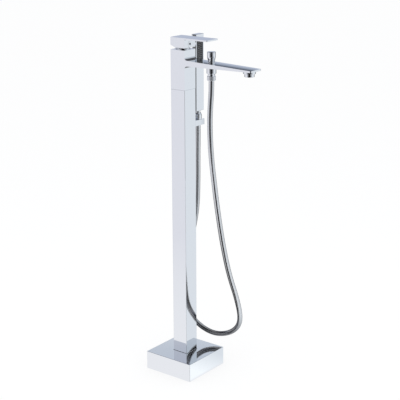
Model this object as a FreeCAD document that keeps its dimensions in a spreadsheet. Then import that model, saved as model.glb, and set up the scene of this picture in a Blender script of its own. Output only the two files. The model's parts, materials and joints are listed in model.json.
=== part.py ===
import FreeCAD, Part

import math
import os

import Sketcher
from FreeCAD import Placement, Rotation, Vector

# Floor standing bath filler: a square column on a covered floor plate, a mixer head with a
# flat spout, a lever handle, a pull-up diverter and a hand shower on a hose.
# Millimetres. Origin: centre of the foot on the floor. +X along the spout, +Y towards the
# hand shower, +Z up.

# ---------------------------------------------------------------------------
# Driving sizes
# ---------------------------------------------------------------------------
SIZES = {
    # Square column, shared by the mixer head and the handle block
    "column_width": 45.0,
    "column_wall": 2.0,
    "seam_height": 777.0,
    "edge_round": 0.8,
    # Floor plate with its square socket
    "plate_width": 126.0,
    "plate_thickness": 8.0,
    "plate_corner": 8.0,
    "anchor_spacing": 96.0,
    "anchor_radius": 5.5,
    "socket_wall": 5.0,
    "socket_height": 34.0,
    "socket_gap": 0.1,
    "socket_screw_radius": 3.0,
    "socket_screw_rise": 20.0,
    "thread_gap": 0.05,
    "key_width_share": 0.55,
    "key_depth_share": 0.5,
    # Inlet block in the foot of the column, with the hot and the cold port
    "inlet_height": 26.0,
    "inlet_gap": 0.2,
    "port_spacing": 19.6,
    "port_radius": 7.6,
    "port_depth": 14.0,
    "port_opening_width": 20.0,
    "port_opening_length": 37.0,
    # Supply hoses inside the column
    "supply_radius": 6.0,
    "supply_bore": 3.5,
    "tail_radius": 4.9,
    "tail_length": 9.0,
    "tail_bore": 3.0,
    "tail_collar_radius": 6.5,
    "tail_collar_height": 6.0,
    # Loose square cover over the floor plate
    "cover_width": 150.0,
    "cover_height": 50.0,
    "cover_wall": 1.5,
    "cover_gap": 0.35,
    "cover_round": 1.2,
    "grommet_width": 5.0,
    "grommet_thickness": 2.5,
    # Sleeve that joins the column to the mixer head
    "sleeve_gap": 0.1,
    "sleeve_wall": 3.0,
    "sleeve_length": 75.0,
    "sleeve_screw_radius": 2.0,
    "sleeve_screw_offset": 12.0,
    "sleeve_screw_spacing": 20.0,
    # Mixer head and spout, one casting
    "head_height": 102.0,
    "head_cavity_height": 35.0,
    "spout_tip": 228.0,
    "spout_drop": 24.2,
    "spout_fall": 7.0,
    "spout_root_thickness": 15.2,
    "spout_tip_thickness": 4.6,
    "spout_wall": 1.6,
    "spout_side_wall": 2.0,
    "spout_root_round": 8.0,
    "spout_under_round": 3.0,
    "spout_tip_round": 3.5,
    "outlet_hole_radius": 3.0,
    # Aerator under the spout tip
    "aerator_reach": 208.0,
    "aerator_boss_radius": 16.4,
    "aerator_boss_height": 5.9,
    "aerator_radius": 13.0,
    "aerator_height": 8.0,
    "aerator_thread_radius": 11.0,
    "aerator_bore": 9.5,
    "aerator_washer_thickness": 1.0,
    "aerator_edge": 1.0,
    "aerator_seal_width": 2.0,
    "insert_recess": 1.0,
    "insert_thickness": 2.0,
    "insert_ring_step": 3.4,
    "insert_hole_radius": 0.9,
    # Ceramic cartridge
    "head_wall": 5.0,
    "bore_depth": 27.0,
    "cartridge_gap": 0.1,
    "seal_thickness": 1.0,
    "seal_bore": 2.6,
    "seal_width": 1.3,
    "port_inset": 4.1,
    "disc_port_radius": 2.4,
    "cartridge_base_height": 3.5,
    "fixed_disc_gap": 1.3,
    "fixed_disc_height": 3.5,
    "moving_disc_margin": 2.0,
    "moving_disc_height": 3.0,
    "cartridge_wall": 2.6,
    "cartridge_lip": 3.0,
    "carrier_margin": 1.1,
    "carrier_rise": 1.0,
    "running_gap": 0.08,
    "nut_height": 8.0,
    "nut_rise": 2.0,
    "nut_gap": 2.1,
    "cap_overlap": 1.5,
    "cap_height": 4.0,
    "cap_bore_margin": 0.5,
    # Lever handle
    "handle_gap": 5.5,
    "handle_height": 26.0,
    "handle_bevel_height": 6.0,
    "handle_bevel_start": 7.0,
    "lever_tip": 94.5,
    "lever_thickness": 4.0,
    "lever_tip_thickness": 3.7,
    "handle_recess_gap": 1.3,
    "handle_recess_depth": 7.0,
    "handle_corner": 1.6,
    "stem_width": 8.0,
    "stem_top_rise": 18.0,
    "stem_bottom_drop": 5.0,
    "stem_gap": 0.1,
    "stem_slot_reach": 7.6,
    "stem_floor_gap": 1.6,
    "pin_inset": 2.1,
    "pivot_drop": 5.5,
    "pivot_pin_radius": 1.5,
    "handle_screw_rise": 9.2,
    "handle_screw_radius": 2.2,
    "handle_screw_inset": 4.0,
    "bezel_radius": 7.2,
    "bezel_bore": 3.0,
    "bezel_depth": 0.6,
    "bezel_rise": 0.4,
    # Diverter in the spout
    "diverter_reach": 91.0,
    "diverter_stem_radius": 2.5,
    "diverter_travel": 9.0,
    "diverter_bush_radius": 10.0,
    "diverter_bush_height": 3.0,
    "diverter_bush_shank": 4.5,
    "seat_depth": 0.2,
    "knob_radius": 10.9,
    "knob_height": 24.8,
    "knob_head_height": 11.0,
    "knob_taper_height": 7.0,
    "knob_waist_radius": 8.9,
    "knob_gap": 0.3,
    "knob_edge": 0.8,
    "valve_radius": 6.8,
    "valve_thickness": 3.0,
    # Shower outlet under the spout, with its hose nut
    "outlet_radius": 12.5,
    "outlet_height": 16.2,
    "outlet_chamber_radius": 7.6,
    "outlet_spigot_wall": 1.0,
    "outlet_neck_radius": 10.3,
    "outlet_neck_height": 6.0,
    "outlet_floor": 2.0,
    "outlet_thread_length": 6.0,
    "outlet_thread_radius": 8.0,
    "outlet_bore": 5.0,
    "hose_nut_radius": 11.0,
    "hose_nut_height": 11.5,
    "hose_nut_edge": 1.0,
    "hose_washer_thickness": 2.0,
    # Shower hose
    "hose_radius": 7.0,
    "hose_bore": 4.5,
    # Holder bracket on the column
    "holder_drop": 105.0,
    "holder_thickness": 15.0,
    "holder_width": 22.0,
    "holder_end": 75.5,
    "holder_slot_width": 15.0,
    "holder_round": 1.0,
    "holder_screw_radius": 2.0,
    "holder_screw_spacing": 11.0,
    "holder_screw_length": 14.0,
    "holder_screw_head_radius": 3.8,
    "holder_screw_head_height": 2.2,
    "socket_seat_gap": 0.3,
    # Hand shower
    "handset_reach": 61.0,
    "handset_width": 31.4,
    "handset_depth": 15.4,
    "handset_height": 201.0,
    "handset_wall": 2.0,
    "handset_round": 1.2,
    "nozzle_plate_width": 25.6,
    "nozzle_plate_height": 66.0,
    "nozzle_plate_top_gap": 11.0,
    "nozzle_plate_thickness": 1.8,
    "nozzle_plate_corner": 0.6,
    "nozzle_ledge": 2.0,
    "nozzle_pitch": 5.0,
    "nozzle_edge": 4.0,
    "nozzle_radius": 1.1,
    "nozzle_tip_radius": 0.8,
    "nozzle_rise": 0.7,
    "neck_radius": 6.5,
    "neck_show": 5.6,
    "neck_spigot_radius": 5.4,
    "neck_spigot_height": 10.0,
    "neck_bore": 3.5,
    "cone_top_radius": 9.3,
    "cone_bottom_radius": 8.1,
    "cone_drop": 1.0,
    "shoulder_radius": 10.2,
    "shoulder_height": 17.0,
    "shoulder_collar": 7.1,
    "shoulder_gap": 0.4,
    "neck_engagement": 10.0,
    "cone_washer_thickness": 2.0,
}

# Centre line of the shower hose: X, Y and the drop below the outlet's nut, then X, Y and the
# height above the floor as it hangs in front of the column, loops past the cover and rises
# behind the column, then X, Y and the drop below the cone nut.
HOSE_FROM_OUTLET = [(91.0, 0.0, 0.0), (91.0, 0.0, 29.5), (91.0, -5.0, 67.5), (90.5, -6.5, 117.5)]
HOSE_LOOP = [
    (92.0, -5.5, 617.0),
    (94.0, 4.0, 543.5),
    (94.0, 20.5, 462.5),
    (97.5, 40.5, 362.0),
    (100.0, 66.0, 270.5),
    (111.0, 90.0, 191.5),
    (112.5, 104.0, 133.5),
    (93.5, 112.0, 97.5),
    (60.0, 111.5, 74.0),
    (21.0, 102.5, 68.5),
    (-14.5, 88.0, 83.0),
    (-42.5, 72.0, 120.5),
    (-48.0, 67.0, 189.5),
    (-38.0, 62.0, 270.0),
    (-23.5, 60.5, 354.0),
    (-5.5, 62.5, 437.0),
]
HOSE_TO_HOLDER = [(-1.5, 61.5, 150.5), (-1.0, 61.0, 80.5), (0.0, 61.0, 31.5), (0.0, 61.0, 0.0)]

doc = FreeCAD.newDocument("bath_filler")
sheet = doc.addObject("Spreadsheet::Sheet", "sizes")
for row, (alias, number) in enumerate(SIZES.items(), start=1):
    sheet.set(f"A{row}", alias.replace("_", " "))
    sheet.set(f"B{row}", str(number))
    sheet.setAlias(f"B{row}", alias)
doc.recompute()


class Dim:
    """A size: its value now, and the expression that ties it to the sheet."""

    def __init__(self, text, value):
        self.text = text
        self.value = value

    def __add__(self, other):
        other = dim(other)
        return Dim(f"({self.text} + {other.text})", self.value + other.value)

    def __radd__(self, other):
        return dim(other) + self

    def __sub__(self, other):
        other = dim(other)
        return Dim(f"({self.text} - {other.text})", self.value - other.value)

    def __rsub__(self, other):
        return dim(other) - self

    def __mul__(self, other):
        other = dim(other)
        return Dim(f"({self.text} * {other.text})", self.value * other.value)

    def __rmul__(self, other):
        return dim(other) * self

    def __truediv__(self, other):
        other = dim(other)
        return Dim(f"({self.text} / {other.text})", self.value / other.value)

    def __neg__(self):
        return Dim(f"(0 - {self.text})", -self.value)


def dim(number):
    """Wrap a plain number, and leave a Dim as it is."""
    if isinstance(number, Dim):
        return number
    return Dim(f"({number})", float(number))


def size(alias):
    """The driving size of that name."""
    return Dim(f"sizes.{alias}", float(sheet.get(alias)))


def bind(obj, prop, number):
    """Tie a property to the sheet."""
    obj.setExpression(prop, dim(number).text)


# ---------------------------------------------------------------------------
# Solids made from primitives
# ---------------------------------------------------------------------------
ALONG = {
    "x": Rotation(Vector(0, 1, 0), 90),
    "y": Rotation(Vector(1, 0, 0), -90),
    "z": Rotation(),
    "-x": Rotation(Vector(0, 1, 0), -90),
    "-y": Rotation(Vector(1, 0, 0), 90),
}


def move_to(obj, x=0, y=0, z=0):
    """Tie a piece's place to the sheet."""
    for axis, number in (("x", x), ("y", y), ("z", z)):
        bind(obj, f"Placement.Base.{axis}", number)


def block(name, xs, ys, zs):
    """A block between two planes on each axis."""
    obj = doc.addObject("Part::Box", name)
    for side, (low, high) in (("Length", xs), ("Width", ys), ("Height", zs)):
        bind(obj, side, dim(high) - low)
    move_to(obj, xs[0], ys[0], zs[0])
    return obj


def centred_block(name, width, depth, zs):
    """A block centred on the column's axis."""
    return block(name, (-width / 2, width / 2), (-depth / 2, depth / 2), zs)


def rod(name, radius, length, at, along="z"):
    """A round bar from a point, along an axis."""
    obj = doc.addObject("Part::Cylinder", name)
    bind(obj, "Radius", radius)
    bind(obj, "Height", length)
    obj.Placement = Placement(Vector(), ALONG[along])
    move_to(obj, *at)
    return obj


def cone(name, radius_low, radius_high, length, at, along="z"):
    """A tapered round bar from a point, along an axis."""
    obj = doc.addObject("Part::Cone", name)
    bind(obj, "Radius1", radius_low)
    bind(obj, "Radius2", radius_high)
    bind(obj, "Height", length)
    obj.Placement = Placement(Vector(), ALONG[along])
    move_to(obj, *at)
    return obj


def cut(name, base, *tools):
    """A piece with one or more shapes taken out of it."""
    for count, tool in enumerate(tools, start=1):
        last = count == len(tools)
        result = doc.addObject("Part::Cut", name if last else f"{name}_cut{count}")
        result.Base = base
        result.Tool = tool
        base = result
    return base


def fuse(name, *shapes):
    """Several shapes made one solid."""
    result = doc.addObject("Part::MultiFuse", name)
    result.Shapes = list(shapes)
    return result


def group(name, *pieces):
    """Like fasteners kept together as separate solids."""
    result = doc.addObject("Part::Compound", name)
    result.Links = list(pieces)
    return result


def rounded(name, base, radius, chosen):
    """A piece with the chosen edges rounded."""
    doc.recompute()
    result = doc.addObject("Part::Fillet", name)
    result.Base = base
    reach = dim(radius).value
    picks = [n for n, edge in enumerate(base.Shape.Edges, start=1) if chosen(edge)]
    result.Edges = [(n, reach, reach) for n in picks]
    return result


def runs_along(edge, axis):
    """True for a straight edge along an axis."""
    if edge.Curve.TypeId != "Part::GeomLine":
        return False
    return abs(abs(getattr(edge.Curve.Direction, axis)) - 1) < 1e-6


def near(one, two):
    """True where two numbers are the same size."""
    return abs(one - dim(two).value) < 1e-4


def six_sided(name, radius, length, at):
    """An upright six-sided bar."""
    obj = doc.addObject("Part::Prism", name)
    obj.Polygon = 6
    bind(obj, "Circumradius", radius)
    bind(obj, "Height", length)
    move_to(obj, *at)
    return obj


def set_screw(name, radius, length, at, along):
    """A headless screw with a hexagon socket in the end it is driven from."""
    shank = doc.addObject("Part::Cylinder", f"{name}_shank")
    bind(shank, "Radius", radius)
    bind(shank, "Height", length)
    key_depth = length * size("key_depth_share")
    key = six_sided(f"{name}_key", radius * size("key_width_share"), key_depth, (0, 0, length - key_depth))
    obj = cut(name, shank, key)
    obj.Placement = Placement(Vector(), ALONG[along])
    move_to(obj, *at)
    return obj


# ---------------------------------------------------------------------------
# Solids made from sketches
# ---------------------------------------------------------------------------
def new_body(name):
    """An empty design body."""
    return doc.addObject("PartDesign::Body", name)


def sketch(body, name, plane, loops, offset=0):
    """Closed straight-sided outlines and circles on an origin plane of the body.

    A loop is a list of corners, or a circle as (centre, centre, radius). Each corner is held
    by its two coordinates.
    """
    result = body.newObject("Sketcher::SketchObject", name)
    base = next(f for f in body.Origin.OriginFeatures if f.Role == plane)
    result.AttachmentSupport = (base, [""])
    result.MapMode = "FlatFace"
    bind(result, "AttachmentOffset.Base.z", offset)
    for loop in loops:
        if isinstance(loop, tuple):
            add_circle(result, *loop)
        else:
            add_outline(result, loop)
    return result


def hold(result, kind, geometry, point, number):
    """Hold a point of a sketch at a bound distance from the sketch's origin."""
    number = dim(number)
    rule = Sketcher.Constraint(kind, -1, 1, geometry, point, number.value)
    index = result.addConstraint(rule)
    result.setExpression(f"Constraints[{index}]", number.text)


def add_outline(result, corners):
    """A closed outline of straight sides."""
    points = [Vector(dim(u).value, dim(v).value, 0) for u, v in corners]
    count = len(points)
    lines = []
    for index, start in enumerate(points):
        side = Part.LineSegment(start, points[(index + 1) % count])
        lines.append(result.addGeometry(side, False))
    for index, line in enumerate(lines):
        following = lines[(index + 1) % count]
        result.addConstraint(Sketcher.Constraint("Coincident", line, 2, following, 1))
    for line, (u, v) in zip(lines, corners):
        hold(result, "DistanceX", line, 1, u)
        hold(result, "DistanceY", line, 1, v)


def add_circle(result, u, v, radius):
    """A circle held by its centre and radius."""
    u, v, radius = dim(u), dim(v), dim(radius)
    shape = Part.Circle(Vector(u.value, v.value, 0), Vector(0, 0, 1), radius.value)
    ring = result.addGeometry(shape, False)
    hold(result, "DistanceX", ring, 3, u)
    hold(result, "DistanceY", ring, 3, v)
    index = result.addConstraint(Sketcher.Constraint("Radius", ring, radius.value))
    result.setExpression(f"Constraints[{index}]", radius.text)


def rectangle(u_low, u_high, v_low, v_high):
    """Corners of a rectangle."""
    return [(u_low, v_low), (u_high, v_low), (u_high, v_high), (u_low, v_high)]


def square(reach):
    """Corners of a square about the origin."""
    return rectangle(-reach, reach, -reach, reach)


def pad(body, name, profile, length, symmetric=False, backwards=False):
    """Material added along the profile's normal."""
    result = body.newObject("PartDesign::Pad", name)
    result.Profile = profile
    bind(result, "Length", length)
    result.SideType = "Symmetric" if symmetric else "One side"
    result.Reversed = backwards
    return result


def pocket(body, name, profile, length, symmetric=False, backwards=False):
    """Material taken away, against the profile's normal unless backwards."""
    result = body.newObject("PartDesign::Pocket", name)
    result.Profile = profile
    bind(result, "Length", length)
    result.SideType = "Symmetric" if symmetric else "One side"
    result.Reversed = backwards
    return result


def soften(body, name, radius, chosen):
    """Round the chosen edges of the body as it stands."""
    doc.recompute()
    base = body.Tip
    picks = [f"Edge{n}" for n, edge in enumerate(base.Shape.Edges, start=1) if chosen(edge)]
    result = body.newObject("PartDesign::Fillet", name)
    result.Base = (base, picks)
    bind(result, "Radius", radius)
    return result


def turned(name, loops, x=0, y=0):
    """A turned piece from outlines of radius and height, on an upright axis at (x, y)."""
    body = new_body(name)
    profile = sketch(body, f"{name}_profile", "XZ_Plane", loops)
    result = body.newObject("PartDesign::Revolution", f"{name}_turn")
    result.Profile = profile
    result.ReferenceAxis = (profile, ["V_Axis"])
    result.Angle = 360
    move_to(body, x, y)
    return body


def ring(name, bore, radius, zs, x=0, y=0):
    """A plain turned ring or washer."""
    return turned(name, [rectangle(bore, radius, zs[0], zs[1])], x, y)


PIECES = {}


def keep(name, obj):
    """Give a finished piece its name, which names its file."""
    obj.Label = name
    PIECES[name] = obj


# ---------------------------------------------------------------------------
# Planes and sizes that several pieces share
# ---------------------------------------------------------------------------
half = size("column_width") / 2
inner_half = half - size("column_wall")
plate_top = size("plate_thickness")
seam = size("seam_height")
head_top = seam + size("head_height")
head_ceiling = seam + size("head_cavity_height")
bore_floor = head_top - size("bore_depth")
pivot_height = head_top - size("pivot_drop")
handle_bottom = head_top + size("handle_gap")
handle_top = handle_bottom + size("handle_height")
holder_low = seam - size("holder_drop")
holder_top = holder_low + size("holder_thickness")
spout_top_root = head_top - size("spout_drop")
spout_top_tip = spout_top_root - size("spout_fall")
spout_bottom_root = spout_top_root - size("spout_root_thickness")
spout_bottom_tip = spout_top_tip - size("spout_tip_thickness")
bore_radius = half - size("head_wall")
cap_radius = bore_radius + size("cap_overlap")
port_offset = size("port_spacing") / 2
diverter_x = size("diverter_reach")
aerator_x = size("aerator_reach")
hand_y = size("handset_reach")


def spout_line(root, tip, x):
    """Height of a spout face, which runs straight from the root to the tip, at a distance."""
    share = (dim(x) - half) / (size("spout_tip") - half)
    return root + (tip - root) * share


def spout_top(x):
    """Height of the spout's top face."""
    return spout_line(spout_top_root, spout_top_tip, x)


def spout_bottom(x):
    """Height of the spout's underside."""
    return spout_line(spout_bottom_root, spout_bottom_tip, x)


# Flat seats let into the sloping faces of the spout, for the guide bush and the shower outlet
bush_seat = spout_top(diverter_x + size("diverter_bush_radius")) - size("seat_depth")
outlet_top = spout_bottom(diverter_x + size("outlet_radius")) + size("seat_depth")
boss_low = spout_bottom(aerator_x) - size("aerator_boss_height")


# ---------------------------------------------------------------------------
# Foot: floor plate, column, inlet block, supply hoses
# ---------------------------------------------------------------------------
def make_floor_flange():
    """Steel floor plate with four anchor holes and the square socket of the column."""
    width = size("plate_width")
    plate = centred_block("plate", width, width, (0, plate_top))
    plate = rounded("plate_rounded", plate, size("plate_corner"), lambda e: runs_along(e, "z"))
    bore_half = half + size("socket_gap")
    outer_half = bore_half + size("socket_wall")
    socket_top = plate_top + size("socket_height")
    outer = centred_block("socket_outer", outer_half * 2, outer_half * 2, (plate_top, socket_top))
    inner = centred_block("socket_inner", bore_half * 2, bore_half * 2, (plate_top, socket_top))
    socket = cut("socket", outer, inner)
    opening = centred_block(
        "port_opening", size("port_opening_width"), size("port_opening_length"), (0, plate_top)
    )
    reach = size("anchor_spacing") / 2
    holes = []
    for x_side in (-1, 1):
        for y_side in (-1, 1):
            at = (reach * x_side, reach * y_side, 0)
            holes.append(rod("anchor_hole", size("anchor_radius"), plate_top, at))
    height = plate_top + size("socket_screw_rise")
    radius = size("socket_screw_radius")
    across = outer_half * 2
    bores = [
        rod("screw_bore_x", radius, across, (-outer_half, 0, height), "x"),
        rod("screw_bore_y", radius, across, (0, -outer_half, height), "y"),
    ]
    whole = fuse("flange_blank", plate, socket)
    keep("floor_flange", cut("floor_flange", whole, opening, *holes, *bores))


def make_socket_screws():
    """Four set screws in the socket, one on each side, that hold the column."""
    height = plate_top + size("socket_screw_rise")
    radius = size("socket_screw_radius") - size("thread_gap")
    length = size("socket_wall") + size("socket_gap")
    places = {"x": (half, 0), "-x": (-half, 0), "y": (0, half), "-y": (0, -half)}
    screws = []
    for along, (x, y) in places.items():
        screws.append(set_screw("socket_screw", radius, length, (x, y, height), along))
    keep("socket_screws", group("socket_screws", *screws))


def make_column_tube():
    """Square tube from the floor plate to the seam, with holes for the screws it takes."""
    outer = centred_block("tube_outer", half * 2, half * 2, (plate_top, seam))
    outer = rounded("tube_rounded", outer, size("edge_round"), lambda e: runs_along(e, "z"))
    inner = centred_block("tube_inner", inner_half * 2, inner_half * 2, (plate_top, seam))
    holes = []
    for x, z in holder_screw_places():
        radius = size("holder_screw_radius") + size("thread_gap")
        holes.append(rod("holder_hole", radius, size("column_wall"), (x, inner_half, z), "y"))
    for y, z in sleeve_screw_places():
        if z.value < seam.value:
            holes.append(sleeve_screw_hole(y, z))
    keep("column_tube", cut("column_tube", outer, inner, *holes))


def holder_screw_places():
    """X and Z of the two screws that hold the bracket."""
    reach = size("holder_screw_spacing") / 2
    height = holder_low + size("holder_thickness") / 2
    return [(-reach, height), (reach, height)]


def sleeve_screw_places():
    """Y and Z of the four screws at the back of the seam, two below it and two above."""
    reach = size("sleeve_screw_spacing") / 2
    drop = size("sleeve_screw_offset")
    return [(reach * side, seam + drop * level) for side in (-1, 1) for level in (-1, 1)]


def sleeve_screw_hole(y, z):
    """A hole through the back wall of the column or the head, and the sleeve."""
    depth = size("column_wall") + size("sleeve_gap") + size("sleeve_wall")
    radius = size("sleeve_screw_radius") + size("thread_gap")
    return rod("sleeve_hole", radius, depth, (-half, y, z), "x")


def make_joining_sleeve():
    """Square sleeve inside the seam, up to the ceiling of the head's cavity."""
    outer_half = inner_half - size("sleeve_gap")
    bore_half = outer_half - size("sleeve_wall")
    zs = (head_ceiling - size("sleeve_length"), head_ceiling)
    outer = centred_block("sleeve_outer", outer_half * 2, outer_half * 2, zs)
    inner = centred_block("sleeve_inner", bore_half * 2, bore_half * 2, zs)
    holes = [sleeve_screw_hole(y, z) for y, z in sleeve_screw_places()]
    keep("joining_sleeve", cut("joining_sleeve", outer, inner, *holes))


def make_sleeve_screws():
    """Four set screws in the back of the seam."""
    length = size("column_wall") + size("sleeve_gap") + size("sleeve_wall")
    screws = []
    for y, z in sleeve_screw_places():
        at = (-half + length, y, z)
        screws.append(set_screw("sleeve_screw", size("sleeve_screw_radius"), length, at, "-x"))
    keep("sleeve_screws", group("sleeve_screws", *screws))


def make_inlet_block():
    """Block in the foot of the column, with the hot and the cold port open downwards."""
    width = (inner_half - size("inlet_gap")) * 2
    top = plate_top + size("inlet_height")
    body = centred_block("inlet_blank", width, width, (plate_top, top))
    holes = []
    for side in (-1, 1):
        y = port_offset * side
        holes.append(rod("port", size("port_radius"), size("port_depth"), (0, y, plate_top)))
        holes.append(rod("port_passage", size("tail_bore"), size("inlet_height"), (0, y, plate_top)))
        seat = top - size("tail_length")
        radius = size("tail_radius") + size("thread_gap")
        holes.append(rod("tail_seat", radius, size("tail_length"), (0, y, seat)))
    keep("inlet_block", cut("inlet_block", body, *holes))


def make_supply_line(name, side):
    """One supply hose inside the column, with the screwed tail at each end."""
    y = port_offset * side
    low = plate_top + size("inlet_height")
    high = head_ceiling
    collar = size("tail_collar_height")
    zs = (low + collar, high - collar)
    hose = ring(f"{name}_hose", size("supply_bore"), size("supply_radius"), zs, 0, y)
    keep(f"{name}_supply_hose", hose)
    bore = size("tail_bore")
    shank = size("tail_radius")
    wide = size("tail_collar_radius")
    length = size("tail_length")
    lower = [
        (bore, low - length), (shank, low - length), (shank, low), (wide, low),
        (wide, low + collar), (bore, low + collar),
    ]
    upper = [
        (bore, high + length), (shank, high + length), (shank, high), (wide, high),
        (wide, high - collar), (bore, high - collar),
    ]
    keep(f"{name}_lower_tail", turned(f"{name}_lower", [lower], 0, y))
    keep(f"{name}_upper_tail", turned(f"{name}_upper", [upper], 0, y))


# ---------------------------------------------------------------------------
# Cover
# ---------------------------------------------------------------------------
def make_base_cover():
    """Thin square cover, open below, with a square opening that clears the column."""
    width = size("cover_width")
    wall = size("cover_wall")
    top = size("cover_height")
    body = new_body("cover_body")
    outline = sketch(body, "cover_outline", "XY_Plane", [square(width / 2)])
    pad(body, "cover_block", outline, top)
    soften(body, "cover_edges", size("cover_round"), lambda e: not near(e.CenterOfMass.z, 0))
    inside = width / 2 - wall
    hollow = sketch(body, "cover_hollow", "XY_Plane", [square(inside)])
    pocket(body, "cover_inside", hollow, top - wall, backwards=True)
    gap_half = half + size("cover_gap")
    hole = sketch(body, "cover_hole", "XY_Plane", [square(gap_half)])
    pocket(body, "cover_opening", hole, top, backwards=True)
    keep("base_cover", body)


def make_cover_grommet():
    """Square rubber ring under the cover's opening, which steadies it on the column."""
    high = size("cover_height") - size("cover_wall")
    zs = (high - size("grommet_thickness"), high)
    inner_side = half + size("cover_gap")
    outer_side = inner_side + size("grommet_width")
    outer = centred_block("grommet_outer", outer_side * 2, outer_side * 2, zs)
    inner = centred_block("grommet_inner", inner_side * 2, inner_side * 2, zs)
    keep("cover_grommet", cut("cover_grommet", outer, inner))


# ---------------------------------------------------------------------------
# Mixer head with its spout
# ---------------------------------------------------------------------------
def make_mixer_body():
    """Head and flat spout, cast in one, with the cartridge bore and the waterways."""
    body = new_body("mixer_casting")
    tip = size("spout_tip")
    outline = [
        (-half, seam), (half, seam),
        (half, spout_bottom_root), (tip, spout_bottom_tip),
        (tip, spout_top_tip), (half, spout_top_root),
        (half, head_top), (-half, head_top),
    ]
    side = sketch(body, "head_side", "XZ_Plane", [outline])
    pad(body, "head_blank", side, half * 2, symmetric=True)
    soften_head(body)
    add_aerator_boss(body)
    cut_head_bores(body)
    cut_spout_waterway(body)
    keep("mixer_body", body)


def soften_head(body):
    """Hollow curves at the spout's root, rounded corners at its tip and the head's edges."""
    tip = size("spout_tip")
    soften(
        body, "spout_root_curve", size("spout_root_round"),
        lambda e: runs_along(e, "y") and near(e.CenterOfMass.z, spout_top_root),
    )
    soften(
        body, "spout_under_curve", size("spout_under_round"),
        lambda e: runs_along(e, "y") and near(e.CenterOfMass.z, spout_bottom_root),
    )
    soften(
        body, "spout_tip_corners", size("spout_tip_round"),
        lambda e: runs_along(e, "z") and near(e.CenterOfMass.x, tip),
    )
    soften(
        body, "head_back_edges", size("edge_round"),
        lambda e: runs_along(e, "z") and near(e.CenterOfMass.x, -half),
    )


def add_aerator_boss(body):
    """Round boss under the spout's tip."""
    circle = (aerator_x, 0, size("aerator_boss_radius"))
    boss = sketch(body, "aerator_boss", "XY_Plane", [circle], boss_low)
    pad(body, "aerator_boss_pad", boss, size("aerator_boss_height") + size("spout_wall"))


def cut_head_bores(body):
    """Cartridge bore, cavity over the seam, supply passages and screw holes."""
    bore = sketch(body, "cartridge_bore", "XY_Plane", [(0, 0, bore_radius)], head_top)
    pocket(body, "cartridge_pocket", bore, size("bore_depth"))
    side = inner_half
    cavity = sketch(body, "seam_cavity", "XY_Plane", [square(side)], seam)
    pocket(body, "seam_pocket", cavity, size("head_cavity_height"), backwards=True)
    seats = [(0, port_offset * s, size("tail_radius") + size("thread_gap")) for s in (-1, 1)]
    seat = sketch(body, "tail_seats", "XY_Plane", seats, head_ceiling)
    pocket(body, "tail_pockets", seat, size("tail_length"), backwards=True)
    passages = [(0, port_offset * s, size("tail_bore")) for s in (-1, 1)]
    passage = sketch(body, "supply_passages", "XY_Plane", passages, head_ceiling)
    pocket(body, "supply_pockets", passage, bore_floor - head_ceiling, backwards=True)
    radius = size("sleeve_screw_radius") + size("thread_gap")
    above = [(y, z) for y, z in sleeve_screw_places() if z.value > seam.value]
    holes = sketch(body, "back_holes", "YZ_Plane", [(y, z, radius) for y, z in above], -half)
    pocket(body, "back_screw_holes", holes, size("column_wall") * 2, backwards=True)


# A feed bore is this many of its own radii deep, and a drilled seat's hole passes this many walls.
FEED_DEPTH_SHARE = 1.5
DRILLED_WALLS = 3


def cut_spout_waterway(body):
    """Hollow inside of the spout, its feed from the cartridge, and its outlets."""
    wall = size("spout_wall")
    start = half - wall
    end = aerator_x + size("aerator_bore")
    space = [
        (start, spout_bottom(start) + wall), (end, spout_bottom(end) + wall),
        (end, spout_top(end) - wall), (start, spout_top(start) - wall),
    ]
    side = sketch(body, "waterway_side", "XZ_Plane", [space])
    width = (half - size("spout_side_wall")) * 2
    pocket(body, "waterway", side, width, symmetric=True)
    feed_radius = size("outlet_hole_radius")
    feed_x = bore_radius / 2
    drop = sketch(body, "feed_drop", "XY_Plane", [(feed_x, 0, feed_radius)], bore_floor)
    feed_depth = feed_radius * FEED_DEPTH_SHARE
    feed_z = bore_floor - feed_depth
    pocket(body, "feed_drop_hole", drop, feed_depth)
    run = sketch(body, "feed_run", "YZ_Plane", [(0, feed_z, feed_radius)], feed_x)
    pocket(body, "feed_run_hole", run, start + wall / 2 - feed_x, backwards=True)
    thread = (aerator_x, 0, size("aerator_thread_radius"))
    mouth = sketch(body, "aerator_mouth", "XY_Plane", [thread], boss_low)
    pocket(body, "aerator_thread", mouth, spout_bottom(aerator_x) + wall - boss_low, backwards=True)
    lower = [(diverter_x, 0, size("outlet_chamber_radius") + size("outlet_spigot_wall"))]
    cut_seat(body, "shower", outlet_top, size("outlet_radius"), lower, upwards=True)
    upper = [(diverter_x, 0, size("diverter_bush_shank") + size("thread_gap"))]
    cut_seat(body, "bush", bush_seat, size("diverter_bush_radius"), upper, upwards=False)


def cut_seat(body, name, height, radius, hole, upwards):
    """A flat round seat in a sloping face of the spout, with a hole through the wall there."""
    wall = size("spout_wall")
    fit = radius + size("thread_gap")
    start = height - wall if upwards else height + wall
    seat = sketch(body, f"{name}_seat", "XY_Plane", [(diverter_x, 0, fit)], start)
    pocket(body, f"{name}_seat_cut", seat, wall, backwards=upwards)
    through = sketch(body, f"{name}_mouth", "XY_Plane", [*hole], start)
    pocket(body, f"{name}_hole", through, wall * DRILLED_WALLS, backwards=upwards)


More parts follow.
